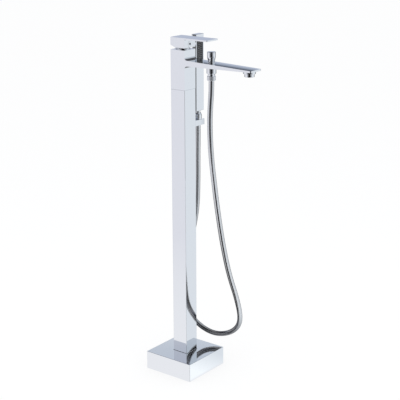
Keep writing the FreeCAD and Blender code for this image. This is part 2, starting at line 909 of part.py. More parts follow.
def make_aerator():
    """Chrome housing with its insert and washer, screwed into the boss."""
    low = boss_low - size("aerator_height")
    wide = size("aerator_radius")
    thread = size("aerator_thread_radius") - size("thread_gap")
    bore = size("aerator_bore")
    lip = size("aerator_edge")
    washer = size("aerator_washer_thickness")
    thread_top = spout_bottom(aerator_x) + size("spout_wall") - washer
    housing = [
        (bore, low), (wide - lip, low), (wide, low + lip), (wide, boss_low),
        (thread, boss_low), (thread, thread_top), (bore, thread_top),
    ]
    keep("aerator_housing", turned("aerator_shell", [housing], aerator_x))
    gap = size("thread_gap")
    insert_low = low + size("insert_recess")
    insert_high = insert_low + size("insert_thickness")
    insert = perforated_disc("aerator_core", bore - gap, insert_low, insert_high, aerator_x)
    keep("aerator_insert", insert)
    seal_zs = (thread_top, thread_top + washer)
    seal_bore = bore - size("aerator_seal_width")
    keep("aerator_washer", ring("aerator_seal", seal_bore, thread, seal_zs, aerator_x))


# Cells in the middle of the insert, in its first ring and in its second.
CELL_RINGS = (1, 6, 12)


def perforated_disc(name, radius, low, high, x):
    """A disc with a six-sided cell at its centre and two rings of cells round it."""
    disc = rod(f"{name}_disc", radius, high - low, (x, 0, low))
    step = size("insert_ring_step")
    holes = []
    for ring_number, count in enumerate(CELL_RINGS):
        for number in range(count):
            angle = 2 * math.pi * number / count
            out = step * ring_number
            at = (x + out * math.cos(angle), out * math.sin(angle), low)
            holes.append(six_sided(f"{name}_cell", size("insert_hole_radius"), high - low, at))
    drill = group(f"{name}_drill", *holes)
    return cut(name, disc, drill)


# ---------------------------------------------------------------------------
# Cartridge
# ---------------------------------------------------------------------------
seal_top = bore_floor + size("seal_thickness")
base_top = seal_top + size("cartridge_base_height")
fixed_top = base_top + size("fixed_disc_height")
moving_top = fixed_top + size("moving_disc_height")
nut_bottom = head_top + size("nut_rise") - size("nut_height")
housing_radius = bore_radius - size("cartridge_gap")
housing_bore = housing_radius - size("cartridge_wall")
fixed_radius = housing_bore - size("fixed_disc_gap")
moving_radius = fixed_radius - size("moving_disc_margin")
carrier_radius = moving_radius - size("carrier_margin")
nut_bore = carrier_radius + size("nut_gap")


PORT_ANGLES = (90, 210, 330)


def port_places():
    """X and Y of the three ports on their pitch circle."""
    place = moving_radius - size("port_inset")
    return [
        (place * math.cos(math.radians(angle)), place * math.sin(math.radians(angle)))
        for angle in PORT_ANGLES
    ]


def make_ported_disc(name, radius, low, high):
    """A disc of the cartridge with its three ports."""
    body = new_body(f"{name}_body")
    circle = sketch(body, f"{name}_circle", "XY_Plane", [(0, 0, radius)], low)
    pad(body, f"{name}_pad", circle, high - low)
    circles = [(x, y, size("disc_port_radius")) for x, y in port_places()]
    ports = sketch(body, f"{name}_port_sketch", "XY_Plane", circles, high)
    pocket(body, f"{name}_ports", ports, high - low)
    keep(name, body)


def make_cartridge():
    """Seals, base, discs, housing and carrier of the ceramic cartridge."""
    seal_bore = size("seal_bore")
    seal_radius = seal_bore + size("seal_width")
    seals = []
    for number, (x, y) in enumerate(port_places(), start=1):
        zs = (bore_floor, seal_top)
        seals.append(ring(f"port_seal{number}", seal_bore, seal_radius, zs, x, y))
    keep("cartridge_seals", group("cartridge_seals", *seals))
    make_ported_disc("cartridge_base", housing_radius, seal_top, base_top)
    make_ported_disc("fixed_disc", fixed_radius, base_top, fixed_top)
    make_ported_disc("moving_disc", moving_radius, fixed_top, moving_top)
    inside = housing_bore
    neck = carrier_radius + size("running_gap")
    lip_bottom = nut_bottom - size("cartridge_lip")
    shell = [
        (inside, base_top), (housing_radius, base_top), (housing_radius, nut_bottom),
        (neck, nut_bottom), (neck, lip_bottom), (inside, lip_bottom),
    ]
    keep("cartridge_housing", turned("cartridge_shell", [shell]))
    nut_zs = (nut_bottom, head_top + size("nut_rise"))
    keep("cartridge_nut", ring("retaining_nut", nut_bore, housing_radius, nut_zs))
    cap_top = head_top + size("cap_height")
    under = head_top + size("nut_rise") + size("cartridge_gap")
    cap_inside = housing_radius + size("cartridge_gap")
    cap_bore = nut_bore + size("cap_bore_margin")
    cap = [
        (cap_inside, head_top), (cap_radius, head_top), (cap_radius, cap_top),
        (cap_bore, cap_top), (cap_bore, under), (cap_inside, under),
    ]
    keep("cartridge_cap", turned("cap_ring", [cap]))


def make_carrier():
    """Turning carrier with the slot in which the stem tilts, and the pin it tilts on."""
    high = head_top + size("carrier_rise")
    barrel = rod("carrier_barrel", carrier_radius, high - moving_top, (0, 0, moving_top))
    slot_side = size("stem_width") / 2 + size("stem_gap") * 2
    reach = size("stem_slot_reach")
    floor = pivot_height - size("stem_bottom_drop") - size("stem_floor_gap")
    slot = block("stem_slot", (-reach, reach), (-slot_side, slot_side), (floor, high))
    pin_length = (carrier_radius - size("pin_inset")) * 2
    pin_at = (0, -pin_length / 2, pivot_height)
    bore = rod("pin_bore", size("pivot_pin_radius"), pin_length, pin_at, "y")
    keep("cartridge_carrier", cut("cartridge_carrier", barrel, slot, bore))
    keep("stem_pin", rod("stem_pin", size("pivot_pin_radius"), pin_length, pin_at, "y"))


def make_stem():
    """Square stem from the carrier up into the handle, with a bore for its pin."""
    width = size("stem_width")
    low = pivot_height - size("stem_bottom_drop")
    high = handle_bottom + size("stem_top_rise")
    bar = centred_block("stem_bar", width, width, (low, high))
    bore_radius = size("pivot_pin_radius") + size("running_gap")
    bore = rod("stem_bore", bore_radius, width, (0, -width / 2, pivot_height), "y")
    keep("cartridge_stem", cut("cartridge_stem", bar, bore))


# ---------------------------------------------------------------------------
# Handle
# ---------------------------------------------------------------------------
def make_handle():
    """Square block with a bevel behind and a flat tapering plate in front."""
    body = new_body("handle_casting")
    tip = size("lever_tip")
    bevel_top = handle_bottom + size("handle_bevel_height")
    outline = [
        (-half, bevel_top), (-size("handle_bevel_start"), handle_bottom),
        (half, handle_bottom), (half, handle_top - size("lever_thickness")),
        (tip, handle_top - size("lever_tip_thickness")), (tip, handle_top), (-half, handle_top),
    ]
    side = sketch(body, "handle_side", "XZ_Plane", [outline])
    pad(body, "handle_blank", side, half * 2, symmetric=True)
    soften(
        body, "lever_corners", size("handle_corner"),
        lambda e: runs_along(e, "z") and near(e.CenterOfMass.x, tip),
    )
    soften(
        body, "handle_back_edges", size("edge_round"),
        lambda e: runs_along(e, "z") and near(e.CenterOfMass.x, -half),
    )
    opening = (0, 0, cap_radius + size("handle_recess_gap"))
    recess = sketch(body, "recess_circle", "XY_Plane", [opening], handle_bottom)
    pocket(body, "recess", recess, size("handle_recess_depth"), backwards=True)
    socket_side = size("stem_width") / 2 + size("stem_gap")
    ceiling = handle_bottom + size("handle_recess_depth")
    socket_top = handle_bottom + size("stem_top_rise") + size("stem_gap")
    socket = sketch(body, "stem_socket_outline", "XY_Plane", [square(socket_side)], ceiling)
    pocket(body, "stem_socket", socket, socket_top - ceiling, backwards=True)
    height = handle_bottom + size("handle_screw_rise")
    seat = sketch(body, "bezel_circle", "YZ_Plane", [(0, height, size("bezel_radius"))], half)
    pocket(body, "bezel_seat", seat, size("bezel_depth"))
    screw_radius = size("handle_screw_radius") + size("thread_gap")
    hole = sketch(body, "screw_circle", "YZ_Plane", [(0, height, screw_radius)], half)
    pocket(body, "screw_hole", hole, half - socket_side)
    keep("lever_handle", body)


def make_handle_screw():
    """Set screw in the front of the handle that grips the stem."""
    height = handle_bottom + size("handle_screw_rise")
    low = size("stem_width") / 2
    length = half - size("handle_screw_inset") - low
    screw = set_screw("handle_screw", size("handle_screw_radius"), length, (low, 0, height), "x")
    keep("handle_screw", screw)


def make_handle_bezel():
    """Flat ring let into the front of the handle round the screw hole."""
    height = handle_bottom + size("handle_screw_rise")
    start = half - size("bezel_depth")
    length = size("bezel_depth") + size("bezel_rise")
    at = (start, 0, height)
    outer = rod("bezel_outer", size("bezel_radius") - size("thread_gap"), length, at, "x")
    inner = rod("bezel_inner", size("bezel_bore"), length, at, "x")
    keep("handle_bezel", cut("handle_bezel", outer, inner))


# ---------------------------------------------------------------------------
# Diverter and shower outlet
# ---------------------------------------------------------------------------
bush_top = bush_seat + size("diverter_bush_height")
knob_low = bush_top + size("knob_gap")
knob_top = knob_low + size("knob_height")
taper_low = knob_top - size("knob_head_height") - size("knob_taper_height")
outlet_low = outlet_top - size("outlet_height")
neck_low = outlet_low - size("outlet_neck_height")
thread_low = neck_low - size("outlet_thread_length")
nut_low = neck_low - size("hose_nut_height")
stem_fit = size("diverter_stem_radius") + size("running_gap")


def make_diverter_bush():
    """Guide bush in its seat on top of the spout."""
    shank = size("diverter_bush_shank")
    low = bush_seat - size("spout_wall")
    outline = [
        (stem_fit, low), (shank, low), (shank, bush_seat),
        (size("diverter_bush_radius"), bush_seat), (size("diverter_bush_radius"), bush_top),
        (stem_fit, bush_top),
    ]
    keep("diverter_bush", turned("guide_bush", [outline], diverter_x))


def make_diverter_knob():
    """Pull knob with a wide head that tapers to its waist."""
    high, low = knob_top, knob_low
    wide = size("knob_radius")
    waist = size("knob_waist_radius")
    head_low = high - size("knob_head_height")
    stem = size("diverter_stem_radius")
    edge = size("knob_edge")
    outline = [
        (stem, low), (waist, low), (waist, taper_low), (wide, head_low),
        (wide, high - edge), (wide - edge, high), (0, high), (0, taper_low), (stem, taper_low),
    ]
    keep("diverter_knob", turned("pull_knob", [outline], diverter_x))


def make_diverter_stem():
    """Rod from the knob through the bush to the closing washer in the outlet."""
    valve_high = outlet_top - size("diverter_travel")
    valve_low = valve_high - size("valve_thickness")
    radius = size("diverter_stem_radius")
    length = taper_low - valve_low
    keep("diverter_stem", rod("diverter_stem", radius, length, (diverter_x, 0, valve_low)))
    zs = (valve_low, valve_high)
    keep("diverter_washer", ring("closing_washer", radius, size("valve_radius"), zs, diverter_x))


def make_shower_outlet():
    """Round outlet under the spout with the diverter's chamber and the hose thread."""
    wide = size("outlet_radius")
    chamber = size("outlet_chamber_radius")
    spigot = chamber + size("outlet_spigot_wall") - size("thread_gap")
    thread = size("outlet_thread_radius")
    bore = size("outlet_bore")
    spigot_top = outlet_top + size("spout_wall") - size("seat_depth")
    floor = outlet_low + size("outlet_floor")
    neck = size("outlet_neck_radius")
    outline = [
        (bore, thread_low), (thread, thread_low), (thread, neck_low), (neck, neck_low),
        (neck, outlet_low), (wide, outlet_low), (wide, outlet_top), (spigot, outlet_top),
        (spigot, spigot_top), (chamber, spigot_top), (chamber, floor), (bore, floor),
    ]
    keep("shower_outlet", turned("outlet_boss", [outline], diverter_x))


def make_outlet_nut():
    """Hose nut under the outlet, and the washer that seals it."""
    washer_low = thread_low - size("hose_washer_thickness")
    radius = size("hose_nut_radius")
    edge = size("hose_nut_edge")
    thread = size("outlet_thread_radius") + size("thread_gap")
    bore = size("hose_bore")
    outline = [
        (bore, nut_low), (radius - edge, nut_low), (radius, nut_low + edge), (radius, neck_low),
        (thread, neck_low), (thread, washer_low), (bore, washer_low),
    ]
    keep("outlet_hose_nut", turned("outlet_nut", [outline], diverter_x))
    seal_zs = (washer_low, thread_low)
    seal_radius = size("outlet_thread_radius")
    keep("outlet_washer", ring("outlet_seal", size("outlet_bore"), seal_radius, seal_zs, diverter_x))


# ---------------------------------------------------------------------------
# Holder bracket
# ---------------------------------------------------------------------------
def make_holder():
    """Bracket on the column's side with a tapered socket that is open at its end."""
    width = size("holder_width")
    low = holder_low
    end = size("holder_end")
    bar = block("holder_bar", (-width / 2, width / 2), (half, end), (low, holder_top))
    bar = rounded(
        "holder_rounded", bar, size("holder_round"),
        lambda e: runs_along(e, "z") and near(e.CenterOfMass.y, end),
    )
    gap = size("socket_seat_gap")
    taper = cone(
        "holder_socket", size("cone_bottom_radius") + gap, size("cone_top_radius") + gap,
        size("holder_thickness"), (0, hand_y, low),
    )
    slot_half = size("holder_slot_width") / 2
    slot = block("holder_slot", (-slot_half, slot_half), (hand_y, end), (low, holder_top))
    holes = []
    radius = size("holder_screw_radius") + size("thread_gap")
    for x, z in holder_screw_places():
        holes.append(rod("bracket_hole", radius, size("holder_screw_length"), (x, half, z), "y"))
    keep("holder_bracket", cut("holder_bracket", bar, taper, slot, *holes))


def make_holder_screws():
    """Two screws from inside the column into the bracket."""
    screws = []
    head_height = size("holder_screw_head_height")
    for x, z in holder_screw_places():
        head_at = (x, inner_half - head_height, z)
        head = rod("holder_head", size("holder_screw_head_radius"), head_height, head_at, "y")
        length = size("column_wall") + size("holder_screw_length")
        shank = rod("holder_shank", size("holder_screw_radius"), length, (x, inner_half, z), "y")
        screws.append(fuse("holder_screw", head, shank))
    keep("holder_screws", group("holder_screws", *screws))


# ---------------------------------------------------------------------------
# Hand shower
# ---------------------------------------------------------------------------
front = size("handset_depth") / 2
shoulder_low = holder_top + size("shoulder_gap")
shoulder_top = shoulder_low + size("shoulder_height")
handset_low = shoulder_top + size("neck_show")
handset_top = handset_low + size("handset_height")
plate_high = handset_top - size("nozzle_plate_top_gap")
plate_low = plate_high - size("nozzle_plate_height")
cone_low = holder_low - size("cone_drop")


def make_handset_body():
    """Flat rectangular shell, hollow, with the seat of the nozzle plate in its face."""
    width = size("handset_width")
    low, high = handset_low, handset_top
    wall = size("handset_wall")
    side = (hand_y - width / 2, hand_y + width / 2)
    shell = block("handset_blank", (-front, front), side, (low, high))
    shell = rounded("handset_rounded", shell, size("handset_round"), lambda e: True)
    hollow = block(
        "handset_hollow", (-front + wall, front - wall - size("nozzle_plate_thickness")),
        (side[0] + wall, side[1] - wall), (low + wall, high - wall),
    )
    thickness = size("nozzle_plate_thickness")
    seat_half = size("nozzle_plate_width") / 2
    seat = block(
        "plate_seat", (front - thickness, front),
        (hand_y - seat_half, hand_y + seat_half), (plate_low, plate_high),
    )
    ledge = size("nozzle_ledge")
    window = block(
        "plate_window", (0, front), (hand_y - seat_half + ledge, hand_y + seat_half - ledge),
        (plate_low + ledge, plate_high - ledge),
    )
    hole_radius = size("neck_spigot_radius") + size("thread_gap")
    hole = rod("neck_hole", hole_radius, size("neck_spigot_height"), (0, hand_y, low))
    keep("handset_body", cut("handset_body", shell, hollow, seat, window, hole))


def make_nozzle_plate():
    """Dark face plate let into the hand shower."""
    thickness = size("nozzle_plate_thickness")
    gap = size("thread_gap")
    seat_half = size("nozzle_plate_width") / 2 - gap
    plate = block(
        "face_plate", (front - thickness, front),
        (hand_y - seat_half, hand_y + seat_half), (plate_low + gap, plate_high - gap),
    )
    corner = size("nozzle_plate_corner")
    keep("nozzle_plate", rounded("nozzle_plate", plate, corner, lambda e: runs_along(e, "x")))


def octagon(radius, x, y, z):
    """An eight-sided outline that faces along X."""
    angles = [math.pi * side / 4 for side in range(8)]
    corners = [Vector(x, y + radius * math.cos(a), z + radius * math.sin(a)) for a in angles]
    return Part.makePolygon([*corners, corners[0]])


def make_spray_nozzles():
    """Rows of small eight-sided rubber nozzles standing on the face plate."""
    pitch = size("nozzle_pitch").value
    edge = size("nozzle_edge").value
    columns = 1 + int((size("nozzle_plate_width").value - 2 * edge) / pitch)
    rows = 1 + int((size("nozzle_plate_height").value - 2 * edge) / pitch)
    centre = (plate_low.value + plate_high.value) / 2
    radius = size("nozzle_radius").value
    tip = size("nozzle_tip_radius").value
    rise = size("nozzle_rise").value
    nubs = []
    for column in range(columns):
        for row in range(rows):
            y = hand_y.value + (column - (columns - 1) / 2) * pitch
            z = centre + (row - (rows - 1) / 2) * pitch
            foot = octagon(radius, front.value, y, z)
            nubs.append(Part.makeLoft([foot, octagon(tip, front.value + rise, y, z)], True, True))
    nozzles = doc.addObject("Part::Feature", "spray_nozzles")
    nozzles.Shape = Part.makeCompound(nubs)
    nozzles.Placement = Placement()
    keep("spray_nozzles", nozzles)


def make_handset_neck():
    """Brass neck under the hand shower, which turns in the hose nut."""
    bottom = handset_low
    spigot_top = bottom + size("neck_spigot_height")
    low = shoulder_top - size("neck_engagement")
    outline = [
        (size("neck_bore"), low), (size("neck_radius"), low), (size("neck_radius"), bottom),
        (size("neck_spigot_radius"), bottom), (size("neck_spigot_radius"), spigot_top),
        (size("neck_bore"), spigot_top),
    ]
    keep("handset_neck", turned("neck", [outline], 0, hand_y))


# Short straight sides that stand for the nut's domed shoulder.
DOME_STEPS = 5


def dome_corners(wide, narrow, low, height):
    """A quarter of an ellipse from the collar in to the neck, as short straight sides."""
    corners = []
    for step in range(DOME_STEPS + 1):
        angle = math.pi / 2 * step / DOME_STEPS
        across = narrow + (wide - narrow) * math.cos(angle)
        corners.append((across, low + height * math.sin(angle)))
    return corners


def make_cone_nut():
    """Cone-shaped hose nut that rests in the holder, with its seal."""
    bore = size("hose_bore")
    socket = size("neck_radius") + size("running_gap")
    shoulder = size("shoulder_radius")
    collar = shoulder_low + size("shoulder_collar")
    dome = size("shoulder_height") - size("shoulder_collar")
    neck_low_end = shoulder_top - size("neck_engagement")
    floor = neck_low_end - size("knob_gap") - size("cone_washer_thickness")
    outline = [
        (bore, cone_low), (size("cone_bottom_radius"), cone_low),
        (size("cone_top_radius"), holder_top), (size("cone_top_radius"), shoulder_low),
        (shoulder, shoulder_low), *dome_corners(shoulder, socket, collar, dome),
        (socket, floor), (bore, floor),
    ]
    keep("handset_hose_nut", turned("cone_nut", [outline], 0, hand_y))
    washer = ring(
        "cone_seal", bore, size("neck_radius") - size("thread_gap"),
        (floor, floor + size("cone_washer_thickness")), 0, hand_y,
    )
    keep("handset_washer", washer)


# ---------------------------------------------------------------------------
# Shower hose
# ---------------------------------------------------------------------------
def hose_points():
    """Route of the hose, from the outlet nut's underside to the cone nut's underside."""
    first = [Vector(x, y, nut_low.value - drop) for x, y, drop in HOSE_FROM_OUTLET]
    last = [Vector(x, y, cone_low.value - drop) for x, y, drop in HOSE_TO_HOLDER]
    return first + [Vector(*point) for point in HOSE_LOOP] + last


def tube_path(points, share=0.45):
    """Straight runs joined by tangent arcs, each as large as its two runs allow."""
    edges = []
    start = points[0]
    radii = []
    for before, corner, after in zip(points, points[1:], points[2:]):
        to_corner = corner - before
        onward = after - corner
        turn = to_corner.getAngle(onward)
        cut_back = share * min(to_corner.Length, onward.Length)
        radii.append(cut_back / math.tan(turn / 2))
        unit_in = to_corner.normalize()
        unit_out = onward.normalize()
        arc_start = corner - unit_in * cut_back
        arc_end = corner + unit_out * cut_back
        bisector = (unit_out - unit_in).normalize()
        centre = corner + bisector * (radii[-1] / math.cos(turn / 2))
        middle = centre - bisector * radii[-1]
        edges.append(Part.LineSegment(start, arc_start).toShape())
        edges.append(Part.Arc(arc_start, middle, arc_end).toShape())
        start = arc_end
    edges.append(Part.LineSegment(start, points[-1]).toShape())
    print("hose bend radii:", [round(radius) for radius in radii])
    return Part.Wire(edges)


def tube_along(path, radius):
    """A round bar swept along a path that starts straight down."""
    first = path.Edges[0]
    start = first.valueAt(first.FirstParameter)
    direction = first.tangentAt(first.FirstParameter)
    circle = Part.Wire(Part.Circle(start, direction, radius).toShape())
    return path.makePipeShell([circle], True, False)


def make_shower_hose():
    """Shower hose as one plain tube with its bore."""
    path = tube_path(hose_points())
    radius, bore = size("hose_radius").value, size("hose_bore").value
    tube = tube_along(path, radius).cut(tube_along(path, bore))
    section = math.pi * (radius ** 2 - bore ** 2)
    print("hose length", round(path.Length, 1), "volume over section", round(tube.Volume / section, 1))
    hose = doc.addObject("Part::Feature", "shower_hose")
    hose.Shape = tube
    hose.Placement = Placement()
    keep("shower_hose", hose)


def make_all():
    """Every piece of the bath filler, from the floor up."""
    make_floor_flange()
    make_socket_screws()
    make_column_tube()
    make_inlet_block()
    make_supply_line("hot", 1)
    make_supply_line("cold", -1)
    make_base_cover()
    make_cover_grommet()
    make_joining_sleeve()
    make_sleeve_screws()
    make_mixer_body()
    make_aerator()
    make_cartridge()
    make_carrier()
    make_stem()
    make_handle()
    make_handle_screw()
    make_handle_bezel()
    make_diverter_bush()
    make_diverter_knob()
    make_diverter_stem()
    make_shower_outlet()
    make_outlet_nut()
    make_holder()
    make_holder_screws()
    make_handset_body()
    make_nozzle_plate()
    make_spray_nozzles()
    make_handset_neck()
    make_cone_nut()
    make_shower_hose()


def check_document():
    """Stop if any object failed or any finished piece isn't a sound solid."""
    doc.recompute()
    for obj in doc.Objects:
        if "Invalid" in obj.State or "Error" in obj.State:
            raise RuntimeError(f"{obj.Label} did not compute: {obj.State}")
    for name, obj in PIECES.items():
        if obj.Shape.isNull() or not obj.Shape.isValid() or not obj.Shape.Solids:
            raise RuntimeError(f"{name} is not a sound solid")


def write_pieces():
    """One file for each piece, named after it."""
    os.makedirs("parts", exist_ok=True)
    for name, obj in PIECES.items():
        obj.Shape.exportStep(f"parts/{name}.step")
    print(len(PIECES), "pieces written")


make_all()
check_document()
write_pieces()
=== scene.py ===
"""Visual model of a floor standing bath filler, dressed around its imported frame.

Metres, in the frame's own axes: +X along the spout, +Y towards the hand shower, +Z up, with
the origin on the floor at the centre of the foot.
"""

from __future__ import annotations

import json
import logging
import math
from dataclasses import dataclass, field
from enum import Enum
from typing import Sequence

import bmesh
import bpy
from mathutils import Matrix, Vector


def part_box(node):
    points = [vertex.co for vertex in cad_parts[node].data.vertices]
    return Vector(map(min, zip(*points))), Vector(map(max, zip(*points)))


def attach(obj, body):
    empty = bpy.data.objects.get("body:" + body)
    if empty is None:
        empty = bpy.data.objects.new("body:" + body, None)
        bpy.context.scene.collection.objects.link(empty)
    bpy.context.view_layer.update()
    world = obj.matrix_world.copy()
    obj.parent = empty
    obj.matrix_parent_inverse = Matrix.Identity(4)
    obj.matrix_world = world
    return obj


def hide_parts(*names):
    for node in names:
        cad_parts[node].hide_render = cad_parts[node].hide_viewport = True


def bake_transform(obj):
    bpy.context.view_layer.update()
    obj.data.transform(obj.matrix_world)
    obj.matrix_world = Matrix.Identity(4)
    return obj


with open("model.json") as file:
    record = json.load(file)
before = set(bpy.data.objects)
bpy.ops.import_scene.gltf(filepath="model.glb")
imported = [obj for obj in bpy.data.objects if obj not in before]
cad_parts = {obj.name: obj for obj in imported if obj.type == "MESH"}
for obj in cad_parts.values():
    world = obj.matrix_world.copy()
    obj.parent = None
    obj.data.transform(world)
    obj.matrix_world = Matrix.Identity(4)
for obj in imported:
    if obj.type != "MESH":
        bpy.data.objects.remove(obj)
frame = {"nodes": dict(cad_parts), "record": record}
LOG = logging.getLogger("bath_filler")
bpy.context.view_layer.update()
MM = 0.001
WELD = 1e-7
TINY = 1e-6
Z_TO_X = Matrix.Rotation(math.pi / 2, 4, "Y")

Point2 = tuple[float, float]
Triple = tuple[float, float, float]
Stops = tuple[tuple[float, Triple], ...]
Piece = bpy.types.Object
Shape = bmesh.types.BMesh
Loop = list[bmesh.types.BMVert]


# --- Node trees ---
class Wire:
    """An output socket that takes part in arithmetic; each operation adds a Math node."""

    def __init__(self, tree: Tree, socket: bpy.types.NodeSocket) -> None:
        """Wrap a socket of a tree."""
        self.tree = tree
        self.socket = socket

    def _math(self, operation: str, first: object, second: object = 0.0) -> Wire:
        """A Math node on two values or wires."""
        return self.tree.node("ShaderNodeMath", {"operation": operation}, {0: first, 1: second})

    def __add__(self, other: object) -> Wire:
        """Sum."""
        return self._math("ADD", self, other)

    __radd__ = __add__

    def __sub__(self, other: object) -> Wire:
        """Difference."""
        return self._math("SUBTRACT", self, other)

    def __rsub__(self, other: object) -> Wire:
        """Difference from a number."""
        return self._math("SUBTRACT", other, self)

    def __mul__(self, other: object) -> Wire:
        """Product."""
        return self._math("MULTIPLY", self, other)

    __rmul__ = __mul__

    def __truediv__(self, other: object) -> Wire:
        """Quotient."""
        return self._math("DIVIDE", self, other)

    def clamped(self) -> Wire:
        """The value held between 0 and 1."""
        return self._math("MINIMUM", self._math("MAXIMUM", self, 0.0), 1.0)

    def size(self) -> Wire:
        """The value without its sign."""
        return self._math("ABSOLUTE", self)

    def wave(self) -> Wire:
        """Sine of the value."""
        return self._math("SINE", self)

    def loop(self, period: float) -> Wire:
        """Saw tooth from 0 to 1 over a period."""
        return self._math("FRACT", self / period)

    def power(self, exponent: float) -> Wire:
        """The value raised to a power."""
        return self._math("POWER", self, exponent)

    def ramp(self, start: float, run: float) -> Wire:
        """Share from 0 to 1 of the way along a run from a start."""
        return ((self - start) / run).clamped()


def flat_length(east: Wire, north: Wire) -> Wire:
    """Length of a level vector."""
    return (east * east + north * north).power(0.5)


class Tree:
    """A node tree, shader or geometry, that is filled through one node-making method."""

    def __init__(self, tree: bpy.types.NodeTree) -> None:
        """Start on an emptied tree."""
        self.tree = tree
        tree.nodes.clear()

    def node(
        self,
        kind: str,
        settings: dict[str, object] | None = None,
        values: dict[object, object] | None = None,
        output: int | str = 0,
    ) -> Wire:
        """Add a node.

        Args:
            kind: the node's type name.
            settings: its properties; "stops" is a ramp's list of (position, colour).
            values: socket name or number to a value or a Wire.
            output: which output to return.

        Returns:
            The chosen output as a Wire.
        """
        made = self.tree.nodes.new(kind)
        for name, value in (settings or {}).items():
            if name == "stops":
                self._set_stops(made, value)
            else:
                setattr(made, name, value)
        for key, value in (values or {}).items():
            socket = made.inputs[key]
            if isinstance(value, Wire):
                self.tree.links.new(value.socket, socket)
            else:
                socket.default_value = value
        outputs = made.outputs
        return Wire(self, outputs[output] if len(outputs) else None)

    @staticmethod
    def _set_stops(made: bpy.types.Node, stops: Stops) -> None:
        """Set a colour ramp's stops."""
        ramp = made.color_ramp
        while len(ramp.elements) < len(stops):
            ramp.elements.new(1.0)
        for element, (position, colour) in zip(ramp.elements, stops):
            element.position = position
            element.color = (*colour, 1.0)

    def split(self, vector: Wire) -> list[Wire]:
        """X, Y and Z of a vector."""
        outputs = self.node("ShaderNodeSeparateXYZ", None, {"Vector": vector}).socket.node.outputs
        return [Wire(self, outputs[name]) for name in "XYZ"]

    def blend(
        self, share: Wire | float, low: Wire | Sequence[float], high: Wire | Sequence[float],
        way: str = "MIX",
    ) -> Wire:
        """Mix two tones, each a wire or a plain colour.

        Args:
            share: how much the second tone counts.
            low: the first tone.
            high: the second tone.
            way: the Mix node's way of blending.

        Returns:
            The mixed tone.
        """
        first, second = (
            tone if isinstance(tone, Wire) else (*tone, 1.0) for tone in (low, high)
        )
        settings = {"data_type": "RGBA", "blend_type": way}
        return self.node("ShaderNodeMix", settings, {"Factor": share, 6: first, 7: second}, 2)


class Paint(Tree):
    """The shader tree of one material."""

    def __init__(self, name: str) -> None:
        """Make the material and its empty tree."""
        self.material = bpy.data.materials.new(name)
        self.material.use_nodes = True
        super().__init__(self.material.node_tree)

    def place(self) -> Wire:
        """Object coordinates, which are the frame's own."""
        return self.node("ShaderNodeTexCoord", output="Object")

    def noise(self, scale: float, detail: float = 2.0, at: Wire | None = None) -> Wire:
        """Noise from 0 to 1 of that scale per metre."""
        where = at or self.place()
        values = {"Vector": where, "Scale": scale, "Detail": detail}
        return self.node("ShaderNodeTexNoise", None, values, "Fac")

    def stretched(self, factors: Sequence[float]) -> Wire:
        """Object coordinates stretched by three factors."""
        return self.node("ShaderNodeMapping", None, {"Vector": self.place(), "Scale": factors})

    def glow(self, tone: Wire | Sequence[float]) -> Wire:
        """Light of a tone, at strength 1."""
        return self.node("ShaderNodeEmission", None, {"Color": tone, "Strength": 1.0})

    def relief(self, height: Wire, strength: float, distance: float) -> Wire:
        """Bump normal from a height."""
        values = {"Height": height, "Strength": strength, "Distance": distance}
        return self.node("ShaderNodeBump", None, values)

    def finish(self, **values: object) -> bpy.types.Material:
        """Principled surface with the given sockets; an underscore stands for a space."""
        named = {key.replace("_", " "): value for key, value in values.items()}
        surface = self.node("ShaderNodeBsdfPrincipled", None, named)
        self.node("ShaderNodeOutputMaterial", None, {"Surface": surface})
        return self.material


# --- Finishes ---
def dimmed(colour: Triple, share: float) -> list[float]:
    """A colour with its three parts times a share."""
    return [part * share for part in colour]


@dataclass(frozen=True)
class PolishedChrome:
    """Mirror chrome plate with faint polishing haze."""

    slot: str = "chrome"
    colour: Triple = (0.83, 0.84, 0.86)
    dull_share: float = 0.985
    roughness: float = 0.035
    haze: float = 0.03
    cloud_scale: float = 14.0
    grain_scale: float = 900.0
    grain_strength: float = 0.012
    grain_depth: float = 0.2 * MM

    def build(self) -> bpy.types.Material:
        """The chrome material."""
        paint = Paint("polished_chrome")
        cloud = paint.noise(self.cloud_scale, 4.0)
        rough = cloud * self.haze + self.roughness
        tone = paint.blend(cloud, dimmed(self.colour, self.dull_share), self.colour)
        normal = paint.relief(paint.noise(self.grain_scale), self.grain_strength, self.grain_depth)
        return paint.finish(Base_Color=tone, Metallic=1.0, Roughness=rough, Normal=normal)


@dataclass(frozen=True)
class LinkedHose:
    """Chromed interlocked strip: bright crowns, with painted shade in the grooves, below and
    towards the stand.
    """

    slot: str = "hose_metal"
    crown: Triple = (0.80, 0.80, 0.81)
    # painted shade: the darker tone of the grooves
    groove: Triple = (0.42, 0.42, 0.425)
    # painted shade: the tone the hose takes below and on its side towards the stand
    painted_shade_tone: Triple = (0.13, 0.13, 0.135)
    roughness: float = 0.10
    streak_scale: float = 260.0
    streak_haze: float = 0.06

    def build(self) -> bpy.types.Material:
        """The hose material, which reads the groove depth and the shade kept on the tube."""
        paint = Paint("linked_hose")
        depth, shade = (
            paint.node("ShaderNodeAttribute", {"attribute_name": name}, output="Fac")
            for name in ("groove", "underside")
        )
        # painted shade: darker by the stored shade share, and darker again by the groove depth
        tone = paint.blend(depth, paint.blend(shade, self.crown, self.painted_shade_tone), self.groove)
        rough = paint.noise(self.streak_scale, 3.0) * self.streak_haze + self.roughness
        return paint.finish(Base_Color=tone, Metallic=1.0, Roughness=rough)


